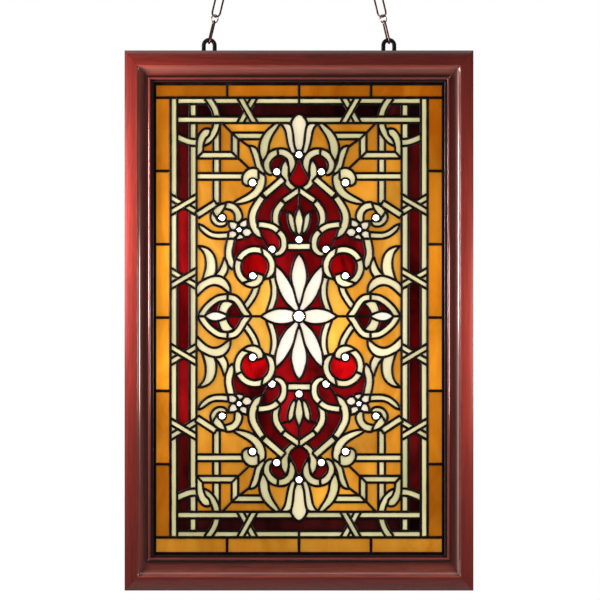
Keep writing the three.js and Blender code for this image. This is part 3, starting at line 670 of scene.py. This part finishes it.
class Nodes:
    """A small helper to write the node tree of a material or world as calls."""

    def __init__(self, name, kind="Material"):
        self.owner = (bpy.data.worlds if kind == "World" else bpy.data.materials).new(name)
        self.owner.use_nodes = True
        self.tree = self.owner.node_tree
        self.tree.nodes.clear()
        self.output = self.tree.nodes.new("ShaderNodeOutput" + kind)

    def add(self, kind, inputs=None, **settings):
        node = self.tree.nodes.new("ShaderNode" + kind)
        for key, value in settings.items():
            setattr(node, key, value)
        for key, value in (inputs or {}).items():
            socket = node.inputs[key]
            if isinstance(value, bpy.types.NodeSocket):
                self.tree.links.new(value, socket)
            else:
                socket.default_value = value
        return node

    def spot(self):
        return self.add("TexCoord").outputs["Object"]

    def math(self, operation, a, b):
        return self.add("Math", {0: a, 1: b}, operation=operation).outputs[0]

    def mix(self, factor, a, b, blend="MIX"):
        node = self.add("Mix", {0: factor, 6: a, 7: b}, data_type="RGBA", blend_type=blend)
        return node.outputs[2]

    def ramp(self, factor, *stops):
        node = self.add("ValToRGB", {0: factor})
        elements = node.color_ramp.elements
        while len(elements) < len(stops):
            elements.new(0.5)
        for element, (position, colour) in zip(elements, stops):
            element.position = position
            element.color = (*colour, 1)
        return node.outputs[0]

    def noise(self, vector, scale, detail=3.0, roughness=0.55, distortion=0.0, output="Fac"):
        inputs = {"Vector": vector, "Scale": scale, "Detail": detail, "Roughness": roughness}
        inputs["Distortion"] = distortion
        return self.add("TexNoise", inputs).outputs[output]

    def stretched(self, vector, scale, lean=0.0):
        inputs = {"Vector": vector, "Rotation": (0, lean, 0), "Scale": scale}
        return self.add("Mapping", inputs).outputs[0]

    def bump(self, height, strength, distance):
        inputs = {"Height": height, "Strength": strength, "Distance": distance}
        return self.add("Bump", inputs).outputs[0]

    def surface(self, colour, normal, **numbers):
        """The principled shader; a number's name has underscores for the socket's spaces."""
        inputs = {"Base Color": colour, "Normal": normal}
        inputs.update({name.replace("_", " "): value for name, value in numbers.items()})
        return self.add("BsdfPrincipled", inputs).outputs[0]

    def finish(self, shader):
        self.tree.links.new(shader, self.output.inputs["Surface"])
        return self.owner


def art_glass(name, streak, ripple, translucence, roughness, streak_scale):
    """Sheet glass lit from behind: the pane's tone from its attribute, its own glass colour with a painted
    glow towards the panel's middle, with streaks and seed marks.
    """
    dark, pale, amount = streak
    n = Nodes(name)
    tone_and_glow = n.add("Attribute", attribute_name="tone_and_glow").outputs["Color"]
    spot = n.spot()
    drift = n.mix(0.035, spot, n.noise(spot, 14.0, 2.0, output="Color"), "ADD")
    wisps = n.noise(n.stretched(drift, (1.0, 1.0, 0.34), 0.55), streak_scale, 4.0, 0.6, 0.8)
    darker, paler = n.mix(1.0, tone_and_glow, (*dark, 1), "MULTIPLY"), n.mix(1.0, tone_and_glow, (*pale, 1), "MULTIPLY")
    body = n.mix(n.ramp(wisps, (0.36, grey(0)), (0.66, grey(1))), darker, paler)
    clouds = n.noise(spot, 9.0, 2.0, 0.5)
    colour = n.mix(1.0, body, n.ramp(clouds, (0.3, grey(1 - amount)), (0.7, grey(1 + amount))), "MULTIPLY")
    waves = n.noise(n.stretched(spot, (1, 1, 0.5), 0.3), 130.0, 2.0)
    normal = n.bump(waves, ripple, 0.0012)
    front = n.surface(colour, normal, Roughness=roughness, Specular_IOR_Level=0.2)
    through = n.add("BsdfTranslucent", {"Color": colour, "Normal": normal}).outputs[0]
    return n.finish(n.add("MixShader", {0: translucence, 1: front, 2: through}).outputs[0])


def solder():
    """Blackened solder with a faint mottle."""
    n = Nodes("solder")
    mottle = n.noise(n.spot(), 70.0, 4.0, 0.6)
    black, wear_and_painted_shade, bare = (0.0015, 0.0008, 0.0008), (0.003, 0.0018, 0.0017), (0.012, 0.009, 0.008)
    colour = n.ramp(mottle, (0.35, black), (0.6, wear_and_painted_shade), (0.75, bare))
    rough = n.ramp(mottle, (0.3, grey(0.3)), (0.7, grey(0.5)))
    normal = n.bump(n.noise(n.spot(), 420.0), 0.35, 0.0004)
    return n.finish(n.surface(colour, normal, Roughness=rough, Specular_IOR_Level=0.09))


def clear_glass():
    """The jewels' clear glass with a few seeds."""
    n = Nodes("jewel_glass")
    normal = n.bump(n.noise(n.spot(), 260.0, 2.0), 0.1, 0.0004)
    clear = n.surface((0.97, 0.98, 0.96, 1), normal, Roughness=0.08, Transmission_Weight=1.0, IOR=1.45)
    return n.finish(clear)


def varnished_wood():
    """Dark cherry under varnish, along a grain that holds metres along and across the rail."""
    n = Nodes("cherry_wood")
    grain = n.add("Attribute", attribute_name="grain").outputs["Vector"]
    warp = n.noise(n.stretched(grain, (1.5, 8, 8)), 3.0, 2.0, output="Color")
    wavy = n.mix(0.02, grain, warp, "ADD")
    fibres = n.noise(n.stretched(wavy, (4, 160, 160)), 3.0, 5.0, 0.62)
    pores = n.noise(n.stretched(wavy, (20, 900, 900)), 1.0, 2.0)
    figure = n.noise(n.stretched(wavy, (1.2, 16, 16)), 2.0)
    dark, usual, light = (0.078, 0.0098, 0.0066), (0.116, 0.013, 0.0086), (0.155, 0.0172, 0.0115)
    colour = n.ramp(fibres, (0.3, dark), (0.52, usual), (0.72, light))
    colour = n.mix(1.0, colour, n.ramp(figure, (0.3, grey(0.82)), (0.7, (1.15, 1.12, 1.1))), "MULTIPLY")
    colour = n.mix(n.ramp(pores, (0.62, grey(0)), (0.74, grey(0.45))), colour, (0.05, 0.008, 0.007, 1))
    wear_and_painted_shade = [  # across the moulding, in decimetres: place, shade and tint; darker in the quirks, on the inner step and at the outer arris, and browner over the cove, all painted shade, with a slightly lighter cove arris as a painted highlight
        (0.0, 0.16, 1.0), (0.05, 0.16, 1.0), (0.075, 0.8, 1.0), (0.105, 1.0, 1.0), (0.142, 0.3, 1.2),
        (0.175, 0.85, 1.9), (0.28, 1.0, 2.1), (0.325, 1.1, 1.5), (0.35, 0.9, 1.0), (0.5, 1.0, 1.0),
        (0.52, 0.3, 1.3), (0.56, 0.8, 1.3),
    ]
    across = n.math("MULTIPLY", n.add("SeparateXYZ", {0: grain}).outputs["Y"], 10.0)
    shades = n.ramp(across, *[(at, (shade, shade * painted_shade_tint, shade * painted_shade_tint)) for at, shade, painted_shade_tint in wear_and_painted_shade])
    # the painted shade and painted highlight across the moulding are multiplied into the wood's colour
    colour = n.mix(1.0, colour, shades, "MULTIPLY")
    return n.finish(n.surface(
        colour, n.bump(pores, 0.05, 0.0003), Roughness=0.34, Specular_IOR_Level=0.12,
        Coat_Weight=1.0, Coat_Roughness=0.17, Coat_IOR=1.55,
    ))


def metal(name, low, high, roughness, metallic, scale, wear=None):
    """Mottled metal; wear is the colour of its fine worn spots."""
    n = Nodes(name)
    mottle, fine = n.noise(n.spot(), scale, 4.0, 0.6), n.noise(n.spot(), scale * 7)
    colour = n.ramp(mottle, (0.35, low), (0.68, high))
    if wear:
        colour = n.mix(n.ramp(fine, (0.6, grey(0)), (0.75, grey(0.7))), colour, (*wear, 1))
    rough = n.ramp(mottle, (0.3, grey(roughness * 0.8)), (0.7, grey(min(1, roughness * 1.3))))
    return n.finish(n.surface(colour, n.bump(fine, 0.2, 0.0003), Roughness=rough, Metallic=metallic))


AMBER = art_glass("amber_glass", ((0.80, 0.64, 0.40), (1.12, 1.22, 1.6), 0.22), 0.25, 0.82, 0.2, 14.0)
CREAM = art_glass("cream_glass", ((0.93, 0.93, 0.84), (1.05, 1.05, 1.12), 0.06), 0.22, 0.8, 0.24, 20.0)
RED = art_glass("red_glass", ((0.3, 0.5, 0.5), (2.05, 1.25, 1.25), 0.5), 0.3, 0.82, 0.18, 15.0)
WHITE = art_glass("white_glass", ((0.93, 0.91, 0.86), (1.04, 1.04, 1.06), 0.04), 0.2, 0.8, 0.22, 18.0)
SOLDER = solder()
JEWEL = clear_glass()
WOOD = varnished_wood()
IRON = metal("black_iron", (0.012, 0.012, 0.013), (0.035, 0.035, 0.038), 0.38, 0.7, 160.0)
WORN_BRONZE = (0.3, 0.17, 0.12)
BRONZE = metal("bronze_plate", (0.05, 0.022, 0.016), (0.14, 0.066, 0.048), 0.34, 0.95, 190.0, WORN_BRONZE)
NICKEL = metal("nickel_wire", (0.28, 0.26, 0.23), (0.5, 0.48, 0.44), 0.3, 1.0, 190.0)


# ---- the glass ----

TONES_AND_GLOW = {  # each glass colour at the ends of the panel and at its middle, where it is paler partly from a painted glow, and how much its panes differ
    "amber": ((0.50, 0.195, 0.011), (0.90, 0.485, 0.065), 0.26),
    "tile": ((0.32, 0.09, 0.0028), (0.70, 0.26, 0.013), 0.26),
    "low_tile": ((0.42, 0.175, 0.014), (0.64, 0.215, 0.011), 0.16),
    "cream": ((0.58, 0.55, 0.29), (0.92, 0.84, 0.58), 0.24),
    "lily": ((0.74, 0.68, 0.45), (0.90, 0.81, 0.55), 0.08),
    "bloom": ((0.80, 0.74, 0.58), (0.86, 0.80, 0.65), 0.08),
    "white": ((0.85, 0.79, 0.67), (0.86, 0.79, 0.68), 0.03),
    "strip": ((0.0030, 0.0021, 0.0022), (0.135, 0.0022, 0.003), 1.3),
    "red": ((0.022, 0.0016, 0.0022), (0.145, 0.0023, 0.0036), 1.3),
    "red_kite": ((0.09, 0.0015, 0.002), (0.12, 0.0015, 0.002), 0.6),
    "red_disc": ((0.22, 0.0015, 0.003), (0.36, 0.0018, 0.003), 0.4),
    "red_eye": ((0.09, 0.0015, 0.002), (0.17, 0.0018, 0.003), 1.3),
}
PALE_GLOW_ACROSS, PALE_GLOW_ALONG = 150, 185  # how far the paler middle of the panel, partly a painted glow, reaches
SHEET_OF = {"red_kite": "red", "red_disc": "red", "red_eye": "red", "strip": "red"}
SHEET_OF.update({"lily": "cream", "bloom": "white"})
CLEAR = ("jewel", "bead")
GLASS_Y = -0.5  # the sheets' place in depth
COLUMN_EDGE, TILE_LOW, TILE_HIGH = 204.3, -336.5, 330.1  # outer edges of the border tiles
COLUMN_TILES, ROW_TILES = 6, 4
HALF_TILE = 50  # from the top of a column's tile to about its middle
UNDER_CAME = 0.5  # how far the seams between a column's tiles run past them


def tone_and_glow_of(kind, u, v, chance):
    """A pane's glass colour: paler towards the middle of the panel, partly darker glass at the ends and
    partly a painted glow of the light behind, with a little chance.
    """
    across = 0 if kind in ("strip", "tile", "low_tile") else u / PALE_GLOW_ACROSS
    # middle is a painted glow, brightest at the panel's middle and fading towards its ends
    middle = math.exp(-(across**2 + (v / PALE_GLOW_ALONG) ** 2))
    low, high, spread = TONES_AND_GLOW[kind]
    return [(a + (b - a) * middle) * (1 + spread * (chance - 0.5)) for a, b in zip(low, high)]


def lay_panes():
    """Glass over the triangles of each pane of the pattern."""
    by_pane = {}
    for t, pane in enumerate(panes):
        by_pane.setdefault(pane, []).append(t)
    for owned in by_pane.values():
        kind = kinds[labels[owned[0]]]
        if kind in CLEAR:
            continue
        u, v = points[tris[owned]].reshape(-1, 2).mean(axis=0)
        value = tone_and_glow_of(kind, abs(u), abs(v), random.random())
        used = sorted({int(i) for t in owned for i in tris[t]})
        order = {i: k for k, i in enumerate(used)}
        spots = [place(points[i][0], GLASS_Y, points[i][1]) for i in used]
        faces = [[order[int(i)] for i in tris[t]] for t in owned]
        sheets[SHEET_OF.get(kind, kind)].add(spots, faces, value)


def lay_tiles():
    """The border tiles; gives the courses of the seams between them."""
    low_row, high_row = -TOP * LOWER_STRETCH, TOP
    courses = [[(side * RIGHT, low_row), (side * RIGHT, high_row)] for side in (-1, 1)]

    def lay(kind, corners, v):
        value = tone_and_glow_of(kind, 0, v, random.random())
        sheets["amber"].add([place(a, GLASS_Y, b) for a, b in corners], [(0, 1, 2, 3)], value)

    levels = np.linspace(high_row, low_row, COLUMN_TILES + 1)
    for side in (-1, 1):
        inner, outer = side * RIGHT, side * COLUMN_EDGE
        for i, (over, under) in enumerate(zip(levels, levels[1:])):
            lay("tile", [(inner, over), (outer, over), (outer, under), (inner, under)], over - HALF_TILE)
            if i:
                courses.append([(inner, over), (side * (COLUMN_EDGE + UNDER_CAME), over)])
    columns = np.linspace(-COLUMN_EDGE, COLUMN_EDGE, ROW_TILES + 1)
    for row, edge, kind in ((high_row, TILE_HIGH, "tile"), (low_row, TILE_LOW, "low_tile")):
        courses.append([(-COLUMN_EDGE, row), (COLUMN_EDGE, row)])
        for i, (left, right) in enumerate(zip(columns, columns[1:])):
            lay(kind, [(left, row), (right, row), (right, edge), (left, edge)], edge)
            if i:
                courses.append([(left, row), (left, edge)])
    return courses


kinds, points, tris, labels, seams, panes = whole_map()
sheets = {name: Mesh() for name in ("amber", "cream", "red", "white")}
lay_panes()
tile_seams = lay_tiles()
tiles = [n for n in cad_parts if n.startswith("border_tile")]
petals = [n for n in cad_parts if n.startswith("petal")]
reds = [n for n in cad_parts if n.startswith(("red_", "eye_glass"))]
for name, material, slot, stands_for in (
    ("amber", AMBER, "amber_glass", ["amber_field"] + tiles),
    ("cream", CREAM, "cream_glass", ["strapwork"]),
    ("red", RED, "red_glass", reds),
    ("white", WHITE, "white_glass", petals),
):
    piece = sheets[name].build(name + "_panes", material, False, "tone_and_glow")
    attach(piece, "root")
    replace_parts(piece, *stands_for)


# ---- the solder, the edge came and the jewels ----

RING_FULLNESS, SEAM_FULLNESS, TILE_FULLNESS = 0.7, 1.22, 1.32  # how wide the seams' beads are
RING_POOL, SEAM_POOL, POOL_CHANCE = 1.2, 1.9, 0.25  # radii of the pools where seams meet
POOL_SIDES = 8
TILE_STEP = 6
CAME_SIDE, CAME_TOP, CAME_BOTTOM = 202.6, 327.6, 334.6  # the came's inner edges from the middle
CAME = [  # the came's section: out, depth
    (0, -1.2), (0.4, -2.0), (1.4, -2.4), (2.6, -2.3), (3.6, -2.4), (10.8, -2.4), (10.8, 2.4), (1.4, 2.4),
    (0.3, 1.8), (0, 1.0),
]
JEWEL_EDGE = 0.9  # half the thickness of a jewel's edge


def clear_spots():
    """The place of each jewel and bead of clear glass and the radius of the seam round it."""
    spots = []
    for kind, outline in shapes():
        if kind in CLEAR:
            u, v = outline.mean(axis=0)
            radius = math.dist(outline[0], (u, v))
            spots += [(*to_quarter(u, v, su, sv), radius) for su, sv in QUARTERS]
    return np.array(sorted({tuple(round(x, 3) + 0.0 for x in spot) for spot in spots}))


def on_ring(path):
    """Whether a path keeps to the seam round one jewel or bead."""
    away = np.hypot(*(path[:, None] - jewel_spots[:, :2]).transpose(2, 0, 1))
    return np.abs(away - jewel_spots[:, 2]).max(axis=0).min() < 0.12


def solder_work():
    """Beads along all seams and pools where they meet."""
    beads, pools = Mesh(), Mesh()
    runs, junctions = chains_of(points, seams)
    for run in runs:
        closed = len(run) > 3 and run[0] == run[-1]
        path = np.array([points[i] for i in (run[:-1] if closed else run)])
        fullness = RING_FULLNESS if on_ring(path) else SEAM_FULLNESS
        bead_run(beads, thinned(path), closed, random.random() * 6, fullness)
    for i in junctions:
        radius = RING_POOL if on_ring(points[i][None]) else SEAM_POOL
        turned(pools, *points[i], radius + POOL_CHANCE * random.random(), POOL, POOL_SIDES)
    for start, end in tile_seams:
        n = max(2, round(math.dist(start, end) / TILE_STEP))
        path = [tuple(a + (b - a) * k / n for a, b in zip(start, end)) for k in range(n + 1)]
        bead_run(beads, path, False, random.random(), TILE_FULLNESS)
    return beads, pools


def edge_came():
    """The mitred came round the border tiles."""
    spots, faces = [], []
    for i, (out, depth) in enumerate(CAME):
        side, top, bottom = CAME_SIDE + out, CAME_TOP + out, -CAME_BOTTOM - out
        corners = [(side, top), (-side, top), (-side, bottom), (side, bottom)]
        spots += [place(x, depth, z) for x, z in corners]
        faces += ring_faces(4 * i, 4 * ((i + 1) % len(CAME)), 4)
    mesh = Mesh()
    mesh.add(spots, faces)
    return mesh


def dome(mesh, u, v, radius, rise, sides):
    """A cabochon: flat at the back, domed in front."""
    edge = [(0, JEWEL_EDGE), (1, JEWEL_EDGE), (1, -JEWEL_EDGE)]
    domed = [(math.cos(a), -JEWEL_EDGE - rise * math.sin(a)) for a in (0.3, 0.65, 1.0, 1.3)]
    turned(mesh, u, v, radius, [*edge, *domed, (0, -JEWEL_EDGE - rise)], sides)


jewel_spots = clear_spots()
beads, pools = solder_work()
seam_work = beads.build("solder_seams", SOLDER)
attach(seam_work, "root")
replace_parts(seam_work, "flower_lead")
pool_work = pools.build("solder_pools", SOLDER)
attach(pool_work, "root")
came = edge_came().build("edge_came", SOLDER, False)
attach(came, "root")
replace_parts(came, "border_came")
small, large = Mesh(), Mesh()
for u, v, radius in jewel_spots:
    if math.hypot(u, v) < 1:
        dome(large, 0, 0, radius - 0.75, 2.6, 28)
    else:
        dome(small, u, v, radius - 0.7, 2.2, 20)
for mesh, name in ((small, "jewels"), (large, "flower_jewel_dome")):
    piece = mesh.build(name, JEWEL)
    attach(piece, "root")
    if name != "jewels":
        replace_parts(piece, "flower_jewel")


# ---- the wooden frame ----

RAIL_SIDE, RAIL_TOP, RAIL_BOTTOM = 247.25, 376.9, 388.8  # outer edges from the pattern's middle
LIP_SIDE, LIP_TOP, LIP_BOTTOM = 206.6, 332.4, 338.8  # inner edges
COVE, BOTTOM_COVE, INNER = 14.6, 22.5, 7.7  # widths of the cove, and of the step and bead inside it
COVE_TURN = math.radians(82)
MITRE_GAP = 0.12


def rail_section():
    """Stations round a rail: distance out over the bead, share of the cove, share of the flat, depth."""
    made = [(0, 0, 0, -3.1), (0, 0, 0, -5.2), (0.3, 0, 0, -5.5), (3.3, 0, 0, -5.5)]
    for k in range(9):
        turn = math.pi * k / 8
        foot = -5.5 if k < 4 else -7.0
        made.append((3.5 + 2.1 * (1 - math.cos(turn)), 0, 0, foot + (-9.5 - foot) * math.sin(turn)))
    for k in range(1, 13):
        turn = COVE_TURN * k / 12
        share = 0.965 * math.sin(turn) / math.sin(COVE_TURN)
        made.append((INNER, share, 0, -7 - 7.6 * (1 - math.cos(turn))))
    made.append((INNER, 0.985, 0, -14.2))
    flat = [(0.012, -14.75), (0.05, -14.95), (0.5, -14.1), (0.93, -13), (0.985, -12.6), (1, -11.8), (1, 14.2)]
    made += [(INNER, 1, share, depth) for share, depth in flat]
    return made + [(INNER, 1, 0.96, 15.0), (9.0, 0, 0, 15.0), (9.0, 0, 0, -3.1)]


def rail_corners(out, cove, flat):
    """The frame's four corners at a station of the section."""
    reach = []
    for lip, edge, width in (
        (LIP_SIDE, RAIL_SIDE, COVE), (LIP_TOP, RAIL_TOP, COVE), (LIP_BOTTOM, RAIL_BOTTOM, BOTTOM_COVE),
    ):
        reach.append(lip + out + cove * width + flat * (edge - lip - INNER - width))
    side, top, bottom = reach
    return [(side, top), (-side, top), (-side, -bottom), (side, -bottom)]


def rail(name, first, second, level, seed):
    """One mitred rail between two corners of the frame, with the run of its grain as an attribute."""
    spots, grain, across, before = [], [], 0.0, None
    stations = rail_section()
    for out, cove, flat, depth in stations:
        corners = rail_corners(out, cove, flat)
        here = (out + 15 * cove + 20 * flat, depth)
        across += math.dist(here, before) if before else 0
        before = here
        for end, other in ((first, second), (second, first)):
            x, z = corners[end]
            along, far = (x, corners[other][0]) if level else (z, corners[other][1])
            along += math.copysign(MITRE_GAP, far - along)
            spots.append(place(along, depth, z) if level else place(x, depth, along))
            grain.append((along * MM + 3 * seed, across * MM, 0.7 * seed))
    n = len(stations)
    faces = [(2 * i, 2 * ((i + 1) % n), 2 * ((i + 1) % n) + 1, 2 * i + 1) for i in range(n)]
    faces += [tuple(range(0, 2 * n, 2))[::-1], tuple(range(1, 2 * n, 2))]
    mesh = Mesh()
    mesh.add(spots, faces)
    piece = mesh.build(name, WOOD)
    layer = piece.data.attributes.new("grain", "FLOAT_VECTOR", "POINT")
    layer.data.foreach_set("vector", np.array(grain, "f").ravel())
    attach(piece, "root")
    return piece


for seed, (label, first, second, level) in enumerate(
    (("top", 0, 1, True), ("left", 1, 2, False), ("bottom", 2, 3, True), ("right", 3, 0, False)), 1
):
    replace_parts(rail("rail_" + label, first, second, level, seed), "frame_rail_" + label)


# ---- hanging eyes, chains and hooks ----

EYE_OFFSET, EYE_STOCK, EYE_WIDTH, EYE_HEIGHT = 127.5, 6.0, 21.5, 18.5
LINK = (30.0, 15.2, 2.7)  # inner length, width and wire
RING = (9.4, 13.4, 2.0)
HOOK_WIRE, SMALL_BEND, LARGE_BEND = 3.0, 5.5, 7.5
SMALL_BEND_UP, LARGE_BEND_UP = 4, 19.8  # the bends' middles above the hook's foot
CHAIN_LEAN = math.radians(13.5)
CLEARANCE = 0.3
RAIL_HIGH = frame_high[2] / MM
CONTACT = RAIL_HIGH + EYE_HEIGHT - EYE_STOCK  # where the first link hangs in the eye


def tube(path, radius, closed, sides):
    """A round rod along a path of points."""
    p = np.array(path, float)
    ahead = (np.roll(p, -1, axis=0) - np.roll(p, 1, axis=0)) if closed else np.gradient(p, axis=0)
    ahead /= np.linalg.norm(ahead, axis=1)[:, None]
    flat = np.cross(p[1] - p[0], p[len(p) // 3] - p[0])
    flat /= np.linalg.norm(flat)
    places, faces = [], []
    for spot, side in zip(p, np.cross(ahead, flat)):
        for turn in steps_round(sides):
            places.append(tuple(spot + radius * (side * math.cos(turn) + flat * math.sin(turn))))
    for i in range(len(p) - (0 if closed else 1)):
        a, b = i * sides, (i + 1) % len(p) * sides
        faces += [(a + k, a + (k + 1) % sides, b + (k + 1) % sides, b + k) for k in range(sides)]
    if not closed:
        for end, way in ((0, -1), (len(p) - 1, 1)):
            places.append(tuple(p[end] + way * ahead[end] * radius * 0.45))
            last, a = len(places) - 1, end * sides
            cap = [(last, a + k, a + (k + 1) % sides) for k in range(sides)]
            faces += [f[::-1] for f in cap] if way > 0 else cap
    mesh = Mesh()
    mesh.add([(x * MM, y * MM, z * MM) for x, y, z in places], faces)
    return mesh


def arc(up, radius, start, end, count):
    """Points (x, z) along part of a circle, in degrees, with its middle a distance up the z axis."""
    turns = np.radians(np.linspace(start, end, count))
    return [(radius * math.cos(t), up + radius * math.sin(t)) for t in turns]


def link_path(inner, width, wire):
    """The course of a link's wire; a ring is a link without straight sides."""
    radius, straight_run = (width - wire) / 2, (inner - (width - 2 * wire)) / 2
    over = arc(inner / 2 + straight_run, radius, 0, 180, 17)
    under = arc(inner / 2 - straight_run, radius, 180, 360, 17)
    return over + (under if straight_run > 0.01 else under[1:-1])


def leaning(path, turn, reached, side):
    """Takes a piece's own (x, z) path to its place in the chain of one side."""
    made = []
    lean = -side * CHAIN_LEAN
    for x, z in path:
        x, y, z = x * math.cos(turn), x * math.sin(turn), z + reached
        x, z = x * math.cos(lean) + z * math.sin(lean), -x * math.sin(lean) + z * math.cos(lean)
        made.append((x + side * EYE_OFFSET, y, z + CONTACT))
    return made


def hanging_eye(side):
    half = (EYE_WIDTH - EYE_STOCK) / 2
    shoulder = EYE_HEIGHT - EYE_STOCK / 2 - half
    leg = [(half, shoulder * 0.5), (half, 0.05)]
    path = [(-x, z) for x, z in leg[::-1]] + arc(shoulder, half, 180, 0, 17) + leg
    return tube([(x + side * EYE_OFFSET, 0, z + RAIL_HIGH) for x, z in path], EYE_STOCK / 2, False, 20)


def hook(side, reached):
    bends = arc(SMALL_BEND_UP, SMALL_BEND, 40, -180, 16) + arc(LARGE_BEND_UP, LARGE_BEND, 0, 215, 18)
    curve = smooth([(x, z, 0) for x, z in bends], 2.0)[:, :2]
    return tube(leaning(curve, 0, reached, side), HOOK_WIRE / 2, False, 12)


def hung_on(side, label):
    """The pieces of one side from the eye up, as (node, mesh, material, slot, name)."""
    made = [("hanging_eye_" + label, hanging_eye(side), IRON, "black_iron", "eye_" + label)]
    reached = -CLEARANCE
    for name, turn, size, material, slot in (
        ("chain_link_" + label + "_1", 102, LINK, BRONZE, "bronze"),
        ("chain_ring_" + label, 38, RING, NICKEL, "steel_ring"),
        ("chain_link_" + label + "_2", -25, LINK, BRONZE, "bronze"),
        ("chain_link_" + label + "_3", 80, LINK, BRONZE, "bronze"),
    ):
        reached -= CLEARANCE
        inner, _, wire = size
        mesh = tube(leaning(link_path(*size), math.radians(turn), reached, side), wire / 2, True, 12)
        made.append((name, mesh, material, slot, "wire_" + name))
        reached += inner
    made.append(("hook_" + label, hook(side, reached - CLEARANCE), BRONZE, "bronze", "wire_hook_" + label))
    return made


for side, label in ((1, "right"), (-1, "left")):
    for node, mesh, material, slot, name in hung_on(side, label):
        piece = mesh.build(name, material)
        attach(piece, "root")
        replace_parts(piece, node)


# ---- floor, lights, studio and camera ----

FLOOR_RADIUS, FLOOR_Z, FLOOR_SIDES = 2.5, -1.25, 64
PINK, BLUSH, ROSE, IVORY, WARM = (
    (1.0, 0.82, 0.86), (1.0, 0.84, 0.8), (1.0, 0.95, 0.96), (1.0, 0.98, 0.95), (1.0, 0.98, 0.96),
)
CAMERA_AWAY, SHOWN = 6.0, 0.852  # metres to the panel, and metres of it that the picture shows


def floor():
    mesh = Mesh()
    turns = steps_round(FLOOR_SIDES)
    rim = [(FLOOR_RADIUS * math.cos(turn), FLOOR_RADIUS * math.sin(turn), FLOOR_Z) for turn in turns]
    mesh.add(rim, [tuple(range(FLOOR_SIDES))])
    n = Nodes("pale_floor")
    tint = n.ramp(n.noise(n.spot(), 3.0, 4.0), (0.3, (0.80, 0.80, 0.79)), (0.7, (0.85, 0.85, 0.84)))
    plaster = n.finish(n.add("BsdfPrincipled", {"Base Color": tint, "Roughness": 0.8}).outputs[0])
    return mesh.build("floor", plaster, False)


def area_light(name, place_at, aim, width, height, power, colour):
    data = bpy.data.lights.new(name, "AREA")
    data.shape, data.size, data.size_y, data.energy, data.color = "RECTANGLE", width, height, power, colour
    light = bpy.data.objects.new(name, data)
    light.location = place_at
    light.rotation_euler = (Vector(aim) - Vector(place_at)).to_track_quat("-Z", "Y").to_euler()
    light.visible_camera = False
    light.visible_glossy = name != "light_box"
    bpy.context.scene.collection.objects.link(light)


def studio():
    """White where the camera or clear glass looks at it, else a wash, brightest behind the panel."""
    n = Nodes("studio", "World")
    rays = n.add("LightPath").outputs
    clear = n.math("SUBTRACT", rays["Is Transmission Ray"], rays["Is Diffuse Ray"])
    seen = n.math("MAXIMUM", rays["Is Camera Ray"], clear)
    towards = n.add("SeparateXYZ", {0: n.add("TexCoord").outputs["Generated"]}).outputs["Y"]
    spread = {"From Min": -0.4, "From Max": 0.8, "To Min": 0.1, "To Max": 0.85}
    wash = n.add("MapRange", {"Value": towards, **spread}).outputs[0]
    strength = n.math("MAXIMUM", seen, wash)
    return n.finish(n.add("Background", {"Color": (1, 1, 1, 1), "Strength": strength}).outputs[0])


def aimed_camera():
    data = bpy.data.cameras.new("camera")
    data.sensor_width, data.lens = 36, 36 * CAMERA_AWAY / SHOWN
    data.clip_end = 60
    camera = bpy.data.objects.new("camera", data)
    camera.location = (1.4 * MM, -CAMERA_AWAY, MIDDLE + 23.1 * MM)
    camera.rotation_euler = (math.radians(90), 0, 0)
    bpy.context.scene.collection.objects.link(camera)
    return camera


stage_floor = floor()
left, right, middle = (-0.235, -0.014), (0.235, -0.014), (0, 0, MIDDLE)
area_light("window_left", (-0.47, -0.125, MIDDLE + 0.13), (*left, MIDDLE + 0.13), 0.08, 0.3, 9.0, PINK)
area_light("window_right", (0.49, -0.15, MIDDLE - 0.02), (*right, MIDDLE - 0.02), 0.12, 0.24, 5.4, BLUSH)
area_light("softbox_left", (-1.6, -0.55, MIDDLE + 0.1), middle, 1.2, 1.2, 12, ROSE)
area_light("window_above", (0.2, -1.5, MIDDLE + 1.6), (0, 0, MIDDLE - 0.3), 1.4, 0.7, 6, IVORY)
area_light("light_box", (0, 0.75, MIDDLE), middle, 0.7, 1.0, 4.9, WARM)
bpy.context.scene.world = studio()
bpy.context.scene.camera = aimed_camera()
bpy.context.scene.view_settings.view_transform = "Standard"
